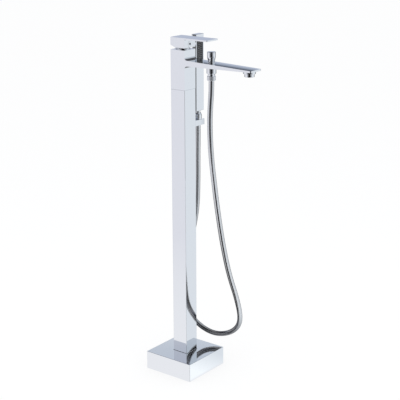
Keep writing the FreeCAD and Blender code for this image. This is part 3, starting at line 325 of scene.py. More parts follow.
@dataclass(frozen=True)
class BraidedSteel:
    """Steel braid round the supply hoses."""

    slot: str = "braided_hose"
    colour: Triple = (0.58, 0.59, 0.60)
    gap_share: float = 0.45
    strand: float = 0.0016
    roughness: float = 0.3
    relief: float = 0.6
    relief_depth: float = 0.3 * MM

    def build(self) -> bpy.types.Material:
        """The braid, from two crossed families of strands."""
        paint = Paint("braided_steel")
        _, across, up = paint.split(paint.place())
        turn = 2 * math.pi / self.strand
        weave = ((up + across) * turn).wave() * ((up - across) * turn).wave() * 0.5 + 0.5
        tone = paint.blend(weave, dimmed(self.colour, self.gap_share), self.colour)
        normal = paint.relief(weave, self.relief, self.relief_depth)
        return paint.finish(
            Base_Color=tone, Metallic=1.0, Roughness=self.roughness, Normal=normal
        )


@dataclass(frozen=True)
class BrushedMetal:
    """Plain metal with fine machining lines along one direction."""

    slot: str
    name: str
    colour: Triple
    stretch: Triple = (40.0, 900.0, 900.0)
    roughness: float = 0.26
    stain_scale: float = 30.0
    stain_share: float = 0.82
    line_haze: float = 0.18
    line_strength: float = 0.15
    line_depth: float = 0.1 * MM

    def build(self) -> bpy.types.Material:
        """The brushed material."""
        paint = Paint(self.name)
        lines = paint.noise(1.0, 3.0, paint.stretched(self.stretch))
        stain = paint.noise(self.stain_scale, 3.0)
        tone = paint.blend(stain, dimmed(self.colour, self.stain_share), self.colour)
        rough = lines * self.line_haze + self.roughness
        normal = paint.relief(lines, self.line_strength, self.line_depth)
        return paint.finish(Base_Color=tone, Metallic=1.0, Roughness=rough, Normal=normal)


@dataclass(frozen=True)
class Moulded:
    """Moulded rubber, plastic or fired ceramic, with a fine surface grain."""

    slot: str
    name: str
    colour: Triple
    roughness: float = 0.5
    grain: float = 1500.0
    relief: float = 0.12
    grain_depth: float = 0.2 * MM
    cloud_scale: float = 60.0
    cloud_share: float = 0.85
    haze: float = 0.1

    def build(self) -> bpy.types.Material:
        """The moulded material."""
        paint = Paint(self.name)
        cloud = paint.noise(self.cloud_scale, 3.0)
        tone = paint.blend(cloud, dimmed(self.colour, self.cloud_share), self.colour)
        rough = cloud * self.haze + (self.roughness - self.haze / 2)
        normal = paint.relief(paint.noise(self.grain), self.relief, self.grain_depth)
        return paint.finish(Base_Color=tone, Roughness=rough, Normal=normal)


FINISHES = (
    PolishedChrome(),
    LinkedHose(),
    BraidedSteel(),
    BrushedMetal("cast_brass", "machined_brass", (0.72, 0.56, 0.30)),
    BrushedMetal("plate_steel", "brushed_steel", (0.62, 0.63, 0.64)),
    BrushedMetal("screw_steel", "screw_steel", (0.42, 0.43, 0.45), (900.0, 900.0, 900.0), 0.3),
    Moulded("rubber", "black_rubber", (0.045, 0.045, 0.047), 0.6),
    Moulded("nozzle_rubber", "grey_silicone", (0.24, 0.245, 0.255), 0.5),
    Moulded("face_plate", "dark_face_plate", (0.010, 0.010, 0.012), 0.34, 1200.0, 0.05),
    Moulded("grey_plastic", "pale_plastic", (0.70, 0.70, 0.68), 0.42),
    Moulded("ceramic", "fired_ceramic", (0.88, 0.87, 0.83), 0.22, 2200.0, 0.03),
)
MATERIALS = {finish.slot: finish.build() for finish in FINISHES}


# --- Outlines and meshes ---
@dataclass(frozen=True)
class Corner:
    """A corner of an outline, with the radius that rounds it."""

    u: float
    v: float
    round: float = 0.0


def rounded_loop(corners: Sequence[Corner], steps: int = 5) -> list[Point2]:
    """Points of a closed outline, with an arc at each rounded corner.

    Args:
        corners: the corners in order.
        steps: straight pieces in each arc.

    Returns:
        The outline's points.
    """
    points: list[Point2] = []
    for index, corner in enumerate(corners):
        here = Vector((corner.u, corner.v))
        if corner.round <= 0:
            points.append((here.x, here.y))
            continue
        before, after = corners[index - 1], corners[(index + 1) % len(corners)]
        back = (Vector((before.u, before.v)) - here).normalized()
        onward = (Vector((after.u, after.v)) - here).normalized()
        half_angle = back.angle(onward) / 2
        reach = corner.round / math.tan(half_angle)
        inward = (back + onward).normalized() * (corner.round / math.sin(half_angle))
        centre = here + inward
        start = here + back * reach - centre
        end = here + onward * reach - centre
        turn = start.angle_signed(end)
        for step in range(steps + 1):
            angle = -turn * step / steps
            cosine, sine = math.cos(angle), math.sin(angle)
            points.append((
                centre.x + start.x * cosine - start.y * sine,
                centre.y + start.x * sine + start.y * cosine,
            ))
    return points


def add_object(name: str, data: bpy.types.ID) -> Piece:
    """An object of that data, linked to the scene."""
    made = bpy.data.objects.new(name, data)
    bpy.context.scene.collection.objects.link(made)
    return made


def new_piece(name: str, shape: Shape, sharp: float = 32.0) -> Piece:
    """A mesh object from a finished bmesh, smooth but for edges over an angle.

    Args:
        name: the piece's name.
        shape: the bmesh, which is freed.
        sharp: edges over this many degrees stay sharp.

    Returns:
        The object, linked to the scene, with its place in its mesh.
    """
    bmesh.ops.remove_doubles(shape, verts=shape.verts[:], dist=WELD)
    bmesh.ops.recalc_face_normals(shape, faces=shape.faces[:])
    mesh = bpy.data.meshes.new(name)
    shape.to_mesh(mesh)
    shape.free()
    mesh.shade_smooth()
    mesh.set_sharp_from_angle(angle=math.radians(sharp))
    return add_object(name, mesh)


def ring(
    shape: Shape, radius: float, height: float, segments: int, centre: Point2 = (0.0, 0.0)
) -> Loop:
    """Add a level ring of points to a bmesh."""
    points = []
    for number in range(segments):
        angle = 2 * math.pi * number / segments
        across, along = radius * math.cos(angle), radius * math.sin(angle)
        points.append(shape.verts.new((centre[0] + across, centre[1] + along, height)))
    return points


def bridge(shape: Shape, one: Loop, two: Loop) -> None:
    """Join two closed loops of as many points by four-sided faces."""
    for index in range(len(one)):
        after = (index + 1) % len(one)
        shape.faces.new((one[index], one[after], two[after], two[index]))


def lathe(
    name: str,
    corners: Sequence[Corner],
    centre: Point2 = (0.0, 0.0),
    segments: int = 96,
    steps: int = 5,
) -> Piece:
    """A turned piece from a closed outline of radius and height, on an upright axis."""
    outline = rounded_loop(corners, steps)
    shape = bmesh.new()
    rings = [ring(shape, max(radius, 0.0), height, segments, centre) for radius, height in outline]
    for index, here in enumerate(rings):
        after = (index + 1) % len(rings)
        if outline[index][0] > 0 or outline[after][0] > 0:
            bridge(shape, here, rings[after])
    return new_piece(name, shape)


class Axis(Enum):
    """The axis that an outline is carried along, with the places of its two coordinates."""

    X = (1, 2, 0)
    Y = (0, 2, 1)
    Z = (0, 1, 2)


def slab(
    name: str, corners: Sequence[Corner], axis: Axis, low: float, high: float, steps: int = 6
) -> Piece:
    """A solid with a constant outline between two planes across an axis."""
    outline = rounded_loop(corners, steps)
    first, second, third = axis.value
    shape = bmesh.new()
    rows = []
    for level in (low, high):
        row = []
        for u, v in outline:
            place = [0.0, 0.0, 0.0]
            place[first], place[second], place[third] = u, v, level
            row.append(shape.verts.new(place))
        rows.append(row)
    for row in rows:
        shape.faces.new(row)
    bridge(shape, *rows)
    return new_piece(name, shape)


def box_corners(low: Point2, high: Point2, round_by: float = 0.0) -> list[Corner]:
    """Corners of a rectangle, each rounded alike."""
    return [
        Corner(low[0], low[1], round_by), Corner(high[0], low[1], round_by),
        Corner(high[0], high[1], round_by), Corner(low[0], high[1], round_by),
    ]


def square(name: str, half: float, low: float, high: float) -> Piece:
    """An upright square block round the frame's axis."""
    return slab(name, box_corners((-half, -half), (half, half)), Axis.Z, low, high)


def evaluated_mesh(piece: Piece) -> bpy.types.Mesh:
    """A new mesh of an object as its modifiers leave it."""
    bpy.context.view_layer.update()
    graph = bpy.context.evaluated_depsgraph_get()
    return bpy.data.meshes.new_from_object(piece.evaluated_get(graph), depsgraph=graph)


@dataclass
class Carving:
    """Cutting and softening of one piece before it is made plain."""

    piece: Piece
    tools: list[Piece] = field(default_factory=list)

    def join(self, tool: Piece) -> Carving:
        """Add a tool's solid to the piece."""
        return self._combine(tool, "UNION")

    def cut(self, tool: Piece) -> Carving:
        """Take a tool's solid out of the piece."""
        return self._combine(tool, "DIFFERENCE")

    def _combine(self, tool: Piece, operation: str) -> Carving:
        """A boolean with a tool, which goes once the piece is plain."""
        step = self.piece.modifiers.new(operation.lower(), "BOOLEAN")
        step.operation = operation
        step.solver = "EXACT"
        step.object = tool
        self.tools.append(tool)
        return self

    def soften(self, width: float, segments: int = 3, angle: float = 35.0) -> Carving:
        """Round every edge over an angle."""
        step = self.piece.modifiers.new("soften", "BEVEL")
        step.width = width
        step.segments = segments
        step.limit_method = "ANGLE"
        step.angle_limit = math.radians(angle)
        step.harden_normals = True
        step.miter_outer = "MITER_ARC"
        return self

    def done(self) -> Piece:
        """Apply everything, remove the tools and leave a plain mesh."""
        mesh = evaluated_mesh(self.piece)
        self.piece.modifiers.clear()
        self.piece.data = mesh
        mesh.name = self.piece.name
        for tool in self.tools:
            bpy.data.objects.remove(tool)
        return self.piece


def flute(
    piece: Piece, centre: Point2, outside: float, count: int, depth: float
) -> None:
    """Press fine upright flutes into the outside of a turned piece.

    Args:
        piece: the turned piece.
        centre: X and Y of its axis.
        outside: points further out than this are moved.
        count: number of flutes.
        depth: how deep each goes.
    """
    for vertex in piece.data.vertices:
        across, along = vertex.co.x - centre[0], vertex.co.y - centre[1]
        reach = math.hypot(across, along)
        if reach < outside:
            continue
        wave = 0.5 - 0.5 * math.cos(math.atan2(along, across) * count)
        shrink = 1 - depth * wave / reach
        vertex.co.x = centre[0] + across * shrink
        vertex.co.y = centre[1] + along * shrink


def drill(radius: float, low: Vector, along: Axis, length: float) -> Piece:
    """A round bar to cut with, from a point along +X or +Z."""
    bar = lathe("drill", box_corners((0, 0), (radius, length)))
    turn = Z_TO_X if along is Axis.X else Matrix.Identity(4)
    bar.data.transform(Matrix.Translation(low) @ turn)
    return bar


def round_tip(piece: Piece, tip: float, width: float) -> None:
    """Round the two upright edges of a plain mesh at its tip.

    Args:
        piece: the mesh object, whose tip points along +X.
        tip: X of the tip.
        width: how far the rounding reaches.
    """
    shape = bmesh.new()
    shape.from_mesh(piece.data)
    edges = []
    for edge in shape.edges:
        one, two = (vertex.co for vertex in edge.verts)
        if min(one.x, two.x) > tip - MM and abs(one.y - two.y) < MM / 10:
            edges.append(edge)
    bmesh.ops.bevel(
        shape, geom=edges, offset=width, segments=6, profile=0.5, affect="EDGES", clamp_overlap=True
    )
    shape.to_mesh(piece.data)
    shape.free()


def coat(piece: Piece, slot: str) -> None:
    """Give a piece the material of a slot and nothing else."""
    piece.data.materials.clear()
    piece.data.materials.append(MATERIALS[slot])


def dress(piece: Piece, body: str, node: str, slot: str = "chrome") -> None:
    """Hand a finished piece over to the frame.

    Args:
        piece: the piece.
        body: the body that it rides on.
        node: the node of the frame that it stands for.
        slot: its material slot.
    """
    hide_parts(node)
    coat(piece, slot)
    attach(piece, body)
    LOG.info("%s rides on %s", piece.name, body)


def span(node: str) -> tuple[Vector, Vector]:
    """Lowest and highest corner of a node."""
    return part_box(node)


def middle(node: str) -> Point2:
    """X and Y of a node's centre."""
    low, high = span(node)
    return ((low.x + high.x) / 2, (low.y + high.y) / 2)


def upright(node: str) -> tuple[float, float, float]:
    """Lowest and highest Z of a round node with an upright axis, and its radius."""
    low, high = span(node)
    return low.z, high.z, (high.x - low.x) / 2


# --- Foot and column ---
@dataclass
class Foot:
    """Square cover on the floor, and the column that stands in it."""

    cover_wall: float = 1.5 * MM
    cover_edge: float = 1.6 * MM
    column_edge: float = 0.8 * MM
    column_wall: float = 2.0 * MM
    opening_gap: float = 0.9 * MM

    def build(self) -> None:
        """Make the cover and the column."""
        self.make_cover()
        self.make_column()

    def make_cover(self) -> None:
        """Thin square cover, open below, with the column's opening."""
        low, high = span("base_cover")
        inner = high.x - self.cover_wall
        reach = span("column_tube")[1].x + self.opening_gap
        cover = square("square_cover", high.x, low.z, high.z)
        hollow = square("hollow", inner, low.z - MM, high.z - self.cover_wall)
        hole = square("hole", reach, low.z + MM, high.z + MM)
        carving = Carving(cover).cut(hollow).cut(hole).soften(self.cover_edge, segments=4)
        dress(carving.done(), "base_cover", "base_cover")

    def make_column(self) -> None:
        """Square tube, open at both ends."""
        low, high = span("column_tube")
        tube = square("square_column", high.x, low.z, high.z)
        bore = square("bore", high.x - self.column_wall, low.z - MM, high.z + MM)
        carving = Carving(tube).cut(bore).soften(self.column_edge, segments=4)
        dress(carving.done(), "root", "column_tube")


# --- Mixer head, handle, diverter ---
@dataclass
class MixerHead:
    """Head and spout in one casting, its aerator and the cap round the cartridge."""

    spout_drop: float = 24.2 * MM
    spout_fall: float = 7.0 * MM
    root_thickness: float = 15.2 * MM
    tip_thickness: float = 4.6 * MM
    root_round: float = 6.5 * MM
    crown: float = 0.42 * MM
    crown_steps: int = 12
    crown_start: float = 4.0 * MM
    crown_ramp: float = 30.0 * MM
    ramp_steps: int = 3
    top_share: float = 0.7
    under_round: float = 8.0 * MM
    tip_round: float = 3.5 * MM
    boss_radius: float = 16.4 * MM
    boss_foot: float = 15.6 * MM
    ring_foot: float = 12.6 * MM
    ring_taper: float = 1.2 * MM
    boss_height: float = 7.4 * MM
    housing_height: float = 8.0 * MM
    mouth_radius: float = 11.0 * MM
    mouth_depth: float = 7.0 * MM
    bore_radius: float = 17.5 * MM
    bore_depth: float = 27.0 * MM
    valve_radius: float = 8.6 * MM
    valve_depth: float = 3.0 * MM
    aerator_bore: float = 9.5 * MM
    thread_gap: float = 0.05 * MM
    cap_bore: float = 11.4 * MM
    cap_recess: float = 2.1 * MM
    edge: float = 0.7 * MM
    arc_steps: int = 10

    def build(self) -> None:
        """Make the casting, the aerator and the cap."""
        self.make_casting()
        self.make_aerator()
        self.make_cap()

    def make_casting(self) -> None:
        """Head with its flat tapering spout and the round boss under the tip."""
        low, high = span("mixer_body")
        half = high.y
        tip = high.x
        top_root = high.z - self.spout_drop
        top_tip = top_root - self.spout_fall
        bottom_root = top_root - self.root_thickness
        bottom_tip = top_tip - self.tip_thickness
        outline = [
            Corner(-half, low.z), Corner(half, low.z),
            Corner(half, bottom_root, self.under_round), Corner(tip, bottom_tip),
            Corner(tip, top_tip), Corner(half, top_root, self.root_round),
            Corner(half, high.z), Corner(-half, high.z),
        ]
        casting = slab("mixer_casting", outline, Axis.Y, -half, half, self.arc_steps)
        round_tip(casting, tip, self.tip_round)
        self.crown_spout(casting, half, top_root)
        axis_x = middle("aerator_housing")[0]
        boss_low = span("aerator_housing")[0].z + self.housing_height
        boss = lathe("boss", [
            Corner(0, boss_low), Corner(self.boss_foot, boss_low),
            Corner(self.boss_radius, boss_low + self.boss_height),
            Corner(0, boss_low + self.boss_height),
        ], (axis_x, 0.0))
        mouth_low = Vector((axis_x, 0, boss_low - MM))
        mouth = drill(self.mouth_radius, mouth_low, Axis.Z, self.mouth_depth)
        bore_low = Vector((0, 0, high.z - self.bore_depth))
        bore = drill(self.bore_radius, bore_low, Axis.Z, self.bore_depth + MM)
        valve_x = middle("shower_outlet")[0]
        valve_high = span("shower_outlet")[1].z + MM / 20
        valve_low = Vector((valve_x, 0, valve_high - self.valve_depth))
        valve = drill(self.valve_radius, valve_low, Axis.Z, self.valve_depth)
        carving = Carving(casting).join(boss).cut(mouth).cut(bore).cut(valve).soften(self.edge)
        dress(carving.done(), "root", "mixer_body")

    def crown_spout(self, casting: Piece, half: float, top_root: float) -> None:
        """Lower the spout's top a little towards both of its long edges."""
        shape = bmesh.new()
        shape.from_mesh(casting.data)
        planes = [
            ((0, -half + 2 * half * step / self.crown_steps, 0), (0, 1, 0))
            for step in range(1, self.crown_steps)
        ]
        planes += [
            ((half + self.crown_start + self.crown_ramp * step / self.ramp_steps, 0, 0), (1, 0, 0))
            for step in range(self.ramp_steps + 1)
        ]
        for place, normal in planes:
            parts = shape.verts[:] + shape.edges[:] + shape.faces[:]
            bmesh.ops.bisect_plane(shape, geom=parts, plane_co=place, plane_no=normal)
        bmesh.ops.triangulate(shape, faces=[f for f in shape.faces if len(f.verts) > 4])
        fall = self.spout_fall / (middle("aerator_housing")[0] - half)
        for vertex in shape.verts:
            place = vertex.co
            top = top_root - fall * (place.x - half)
            past_root = (place.x - half - self.crown_start) / self.crown_ramp
            if past_root > 0 and place.z > top - self.tip_thickness * self.top_share:
                place.z -= self.crown * (place.y / half) ** 2 * min(past_root, 1.0)
        shape.to_mesh(casting.data)
        shape.free()

    def make_aerator(self) -> None:
        """Chrome ring in the boss, round the plastic insert that the frame brings."""
        low, high, wide = upright("aerator_housing")
        seat = low + self.housing_height
        thread = self.mouth_radius - self.thread_gap
        aerator = lathe("aerator_ring", [
            Corner(self.aerator_bore, low, 0.4 * MM), Corner(self.ring_foot, low, 1.0 * MM),
            Corner(self.ring_foot, seat - self.ring_taper, 2.0 * MM),
            Corner(wide, seat, 0.3 * MM), Corner(thread, seat), Corner(thread, high),
            Corner(self.aerator_bore, high),
        ], middle("aerator_housing"))
        dress(aerator, "root", "aerator_housing")

    def make_cap(self) -> None:
        """Round cap over the cartridge nut."""
        low, high = span("cartridge_cap")
        under = low.z + self.cap_recess
        cap = lathe("cartridge_cap_ring", [
            Corner(self.bore_radius, low.z), Corner(high.x, low.z, 0.3 * MM),
            Corner(high.x, high.z, 1.4 * MM), Corner(self.cap_bore, high.z, 0.4 * MM),
            Corner(self.cap_bore, under), Corner(self.bore_radius, under),
        ])
        dress(cap, "root", "cartridge_cap")


@dataclass
class Handle:
    """Square handle block with its flat lever, screw bezel and bores."""

    bevel_height: float = 6.0 * MM
    bevel_start: float = 7.0 * MM
    lever_thickness: float = 4.0 * MM
    tip_thickness: float = 3.7 * MM
    corner_round: float = 1.6 * MM
    under_round: float = 2.4 * MM
    recess_radius: float = 20.3 * MM
    recess_depth: float = 7.0 * MM
    screw_rise: float = 9.2 * MM
    screw_start: float = 4.1 * MM
    screw_radius: float = 2.25 * MM
    bezel_seat: float = 7.25 * MM
    bezel_depth: float = 0.6 * MM
    bezel_bore: float = 3.4 * MM
    edge: float = 0.8 * MM
    arc_steps: int = 8

    def build(self) -> None:
        """Make the handle and its bezel."""
        self.make_block()
        self.make_bezel()

    def make_block(self) -> None:
        """Block, lever and bores."""
        low, high = span("lever_handle")
        half = high.y
        outline = [
            Corner(-half, low.z + self.bevel_height), Corner(-self.bevel_start, low.z),
            Corner(half, low.z), Corner(half, high.z - self.lever_thickness, self.under_round),
            Corner(high.x, high.z - self.tip_thickness), Corner(high.x, high.z),
            Corner(-half, high.z),
        ]
        block = slab("handle_block", outline, Axis.Y, -half, half, self.arc_steps)
        round_tip(block, high.x, self.corner_round)
        below = Vector((0, 0, low.z - MM))
        recess = drill(self.recess_radius, below, Axis.Z, self.recess_depth + MM)
        screw_height = low.z + self.screw_rise
        seat_at = Vector((half - self.bezel_depth, 0, screw_height))
        seat = drill(self.bezel_seat, seat_at, Axis.X, 2 * MM)
        hole_at = Vector((self.screw_start, 0, screw_height))
        hole = drill(self.screw_radius, hole_at, Axis.X, half)
        carving = Carving(block).cut(recess).cut(seat).cut(hole).soften(self.edge)
        dress(carving.done(), "handle", "lever_handle")

    def make_bezel(self) -> None:
        """Flat ring round the screw's hole."""
        low, high = span("handle_bezel")
        wide = (high.z - low.z) / 2
        height = (high.z + low.z) / 2
        thick = high.x - low.x
        bezel = lathe("screw_bezel", [
            Corner(self.bezel_bore, 0, 0.1 * MM), Corner(wide, 0),
            Corner(wide, thick, 0.35 * MM), Corner(self.bezel_bore, thick, 0.35 * MM),
        ])
        bezel.data.transform(Matrix.Translation((low.x, 0, height)) @ Z_TO_X)
        dress(bezel, "handle", "handle_bezel")


@dataclass
class Diverter:
    """Pull knob on the spout, its bush, and the outlet and nut under it."""

    stem_radius: float = 2.5 * MM
    waist_radius: float = 8.9 * MM
    head_height: float = 13.2 * MM
    taper_height: float = 7.6 * MM
    rim_height: float = 2.6 * MM
    shoulder_round: float = 14.0 * MM
    bush_gap: float = 0.08 * MM
    bush_shank: float = 4.5 * MM
    bush_head: float = 3.0 * MM
    outlet_chamber: float = 7.6 * MM
    outlet_spigot: float = 8.55 * MM
    outlet_neck: float = 10.3 * MM
    outlet_thread: float = 8.0 * MM
    outlet_bore: float = 5.0 * MM
    spigot_height: float = 1.4 * MM
    body_height: float = 16.2 * MM
    neck_height: float = 6.0 * MM
    chamber_floor: float = 2.0 * MM
    groove_radius: float = 9.2 * MM
    nut_thread: float = 8.05 * MM
    nut_bore: float = 4.5 * MM
    nut_depth: float = 8.0 * MM
    flutes: int = 30
    flute_points: int = 8
    flute_depth: float = 0.3 * MM

    def build(self) -> None:
        """Make the knob, bush, outlet and nut."""
        self.make_knob()
        self.make_bush()
        self.make_outlet()
        self.make_nut()

    def make_knob(self) -> None:
        """Wide head that tapers to its waist, with a fine groove under the rim."""
        low, high, wide = upright("diverter_knob")
        head_low = high - self.head_height
        taper_low = head_low - self.taper_height
        rim_low = high - self.rim_height
        knob = lathe("pull_knob", [
            Corner(self.stem_radius, low), Corner(self.waist_radius, low, 0.5 * MM),
            Corner(self.waist_radius, taper_low, self.shoulder_round),
            Corner(wide, head_low, self.shoulder_round),
            Corner(wide, rim_low - 0.5 * MM), Corner(wide - 0.35 * MM, rim_low - 0.2 * MM),
            Corner(wide, rim_low), Corner(wide, high, 0.6 * MM), Corner(0, high),
            Corner(0, taper_low), Corner(self.stem_radius, taper_low),
        ], middle("diverter_knob"))
        dress(knob, "diverter", "diverter_knob")

    def make_bush(self) -> None:
        """Guide bush with a soft shoulder."""
        low, high, wide = upright("diverter_bush")
        seat = high - self.bush_head
        bore = self.stem_radius + self.bush_gap
        bush = lathe("guide_bush", [
            Corner(bore, low), Corner(self.bush_shank, low), Corner(self.bush_shank, seat),
            Corner(wide, seat), Corner(wide, high, 1.2 * MM), Corner(bore, high, 0.2 * MM),
        ], middle("diverter_bush"))
        dress(bush, "root", "diverter_bush")

    def make_outlet(self) -> None:
        """Round outlet under the spout with its neck and thread."""
        low, high, wide = upright("shower_outlet")
        seat = high - self.spigot_height
        body_low = seat - self.body_height
        neck_low = body_low - self.neck_height
        floor = body_low + self.chamber_floor
        nut_top = span("outlet_hose_nut")[1].z
        outlet = lathe("outlet_boss", [
            Corner(self.outlet_bore, low), Corner(self.outlet_thread, low),
            Corner(self.outlet_thread, neck_low), Corner(self.outlet_neck, neck_low),
            Corner(self.outlet_neck, nut_top + 0.3 * MM),
            Corner(self.groove_radius, nut_top + 0.6 * MM),
            Corner(self.groove_radius, body_low - 1.0 * MM),
            Corner(self.outlet_neck, body_low), Corner(wide, body_low, 1.6 * MM),
            Corner(wide, seat, 0.2 * MM), Corner(self.outlet_spigot, seat),
            Corner(self.outlet_spigot, high), Corner(self.outlet_chamber, high),
            Corner(self.outlet_chamber, floor), Corner(self.outlet_bore, floor),
        ], middle("shower_outlet"))
        dress(outlet, "root", "shower_outlet")

    def make_nut(self) -> None:
        """Hose nut with softened ends and a finely fluted grip."""
        low, high, wide = upright("outlet_hose_nut")
        centre = middle("outlet_hose_nut")
        floor = high - self.nut_depth
        nut = lathe("hose_nut", [
            Corner(self.nut_bore, low), Corner(wide, low, 1.6 * MM),
            Corner(wide, high, 0.9 * MM), Corner(self.nut_thread, high),
            Corner(self.nut_thread, floor), Corner(self.nut_bore, floor),
        ], centre, self.flutes * self.flute_points)
        flute(nut, centre, wide - self.flute_depth, self.flutes, self.flute_depth)
        dress(nut, "root", "outlet_hose_nut")


# --- Holder and hand shower ---
@dataclass
class Holder:
    """Bracket with a tapered socket, open at its end."""

    cone_top: float = 9.6 * MM
    cone_bottom: float = 8.4 * MM
    slot_half: float = 7.5 * MM
    end_round: float = 1.0 * MM
    edge: float = 0.6 * MM
    reach: float = 61.0 * MM

    def build(self) -> None:
        """Make the bracket."""
        low, high = span("holder_bracket")
        outline = [
            Corner(low.x, low.y), Corner(high.x, low.y),
            Corner(high.x, high.y, self.end_round), Corner(low.x, high.y, self.end_round),
        ]
        bar = slab("hand_shower_holder", outline, Axis.Z, low.z, high.z)
        over = MM
        slope = (self.cone_top - self.cone_bottom) / (high.z - low.z) * over
        socket = lathe("socket", [
            Corner(0, low.z - over), Corner(self.cone_bottom - slope, low.z - over),
            Corner(self.cone_top + slope, high.z + over), Corner(0, high.z + over),
        ], (0.0, self.reach))
        mouth = slab(
            "mouth", box_corners((-self.slot_half, self.reach), (self.slot_half, high.y + over)),
            Axis.Z, low.z - over, high.z + over,
        )
        carving = Carving(bar).cut(socket).cut(mouth).soften(self.edge)
        dress(carving.done(), "root", "holder_bracket")


@dataclass
class HandShower:
    """Flat hand shower with its dark face, nozzles, neck and hose nut."""

    edge: float = 1.2 * MM
    reach: float = 61.0 * MM
    plate_gap: float = 0.05 * MM
    plate_edge: float = 0.3 * MM
    plate_round: float = 0.6 * MM
    nozzle_pitch: float = 5.0 * MM
    nozzle_radius: float = 1.1 * MM
    nozzle_rise: float = 0.7 * MM
    neck_radius: float = 6.5 * MM
    spigot_radius: float = 5.4 * MM
    neck_bore: float = 3.5 * MM
    cone_top: float = 9.3 * MM
    cone_bottom: float = 8.1 * MM
    collar_radius: float = 10.2 * MM
    collar_gap: float = 0.4 * MM
    collar_height: float = 7.1 * MM
    dome_steps: int = 12
    socket_radius: float = 6.58 * MM
    socket_depth: float = 12.3 * MM
    nut_bore: float = 4.5 * MM

    def build(self) -> None:
        """Make every piece of the hand shower."""
        self.make_shell()
        self.make_plate()
        self.make_nozzles()
        self.make_neck()
        self.make_cone_nut()

    def make_shell(self) -> None:
        """Flat shell with the seat of the face plate."""
        low, high = span("handset_body")
        outline = box_corners((low.x, low.y), (high.x, high.y))
        shell = slab("hand_shower_shell", outline, Axis.Z, low.z, high.z)
        plate_low, plate_high = span("nozzle_plate")
        gap = self.plate_gap
        seat_low = (plate_low.y - gap, plate_low.z - gap)
        seat_high = (plate_high.y + gap, plate_high.z + gap)
        seat = slab(
            "seat", box_corners(seat_low, seat_high, self.plate_round),
            Axis.X, plate_low.x, plate_high.x + MM,
        )
        carving = Carving(shell).cut(seat).soften(self.edge, segments=4, angle=60.0)
        dress(carving.done(), "handset", "handset_body")

    def make_plate(self) -> None:
        """Dark face plate with softened edges."""
        low, high = span("nozzle_plate")
        outline = box_corners((low.y, low.z), (high.y, high.z), self.plate_round)
        plate = slab("face_plate", outline, Axis.X, low.x, high.x)
        carving = Carving(plate).soften(self.plate_edge, segments=2, angle=50.0)
        dress(carving.done(), "handset", "nozzle_plate", "face_plate")

    def make_nozzles(self) -> None:
        """Rows of rubber nozzles, grown by a node tree on the face plate."""
        low, high = span("spray_nozzles")
        pitch, across = self.nozzle_pitch, 2 * self.nozzle_radius
        columns = 1 + round((high.y - low.y - across) / pitch)
        rows = 1 + round((high.z - low.z - across) / pitch)
        centre = Vector((low.x, (low.y + high.y) / 2, (low.z + high.z) / 2))
        piece = NozzleField("nozzle_field").grow(
            "spray_nozzle_field", centre, Columns=columns, Rows=rows, Pitch=pitch,
            Radius=self.nozzle_radius, Rise=self.nozzle_rise,
        )
        dress(piece, "handset", "spray_nozzles", "nozzle_rubber")

    def make_neck(self) -> None:
        """Neck between the shell and the cone nut."""
        low, high = span("handset_neck")
        shell_low = span("handset_body")[0].z
        piece = lathe("shower_neck", [
            Corner(self.neck_bore, low.z), Corner(self.neck_radius, low.z),
            Corner(self.neck_radius, shell_low), Corner(self.spigot_radius, shell_low),
            Corner(self.spigot_radius, high.z), Corner(self.neck_bore, high.z),
        ], (0.0, self.reach))
        dress(piece, "handset", "handset_neck")

    def make_cone_nut(self) -> None:
        """Cone in the holder, collar above it and the dome that closes on the neck."""
        low, high = span("handset_hose_nut")
        holder_top = span("holder_bracket")[1].z
        shoulder = holder_top + self.collar_gap
        floor = high.z - self.socket_depth
        dome_low = shoulder + self.collar_height
        dome = []
        for step in range(self.dome_steps + 1):
            angle = math.pi / 2 * step / self.dome_steps
            wide = self.socket_radius + (self.collar_radius - self.socket_radius) * math.cos(angle)
            dome.append(Corner(wide, dome_low + (high.z - dome_low) * math.sin(angle)))
        piece = lathe("cone_nut", [
            Corner(self.nut_bore, low.z), Corner(self.cone_bottom, low.z, 0.3 * MM),
            Corner(self.cone_top, holder_top), Corner(self.cone_top, shoulder),
            Corner(self.collar_radius, shoulder, 0.5 * MM), *dome,
            Corner(self.socket_radius, floor), Corner(self.nut_bore, floor),
        ], (0.0, self.reach))
        dress(piece, "hose_end", "handset_hose_nut")


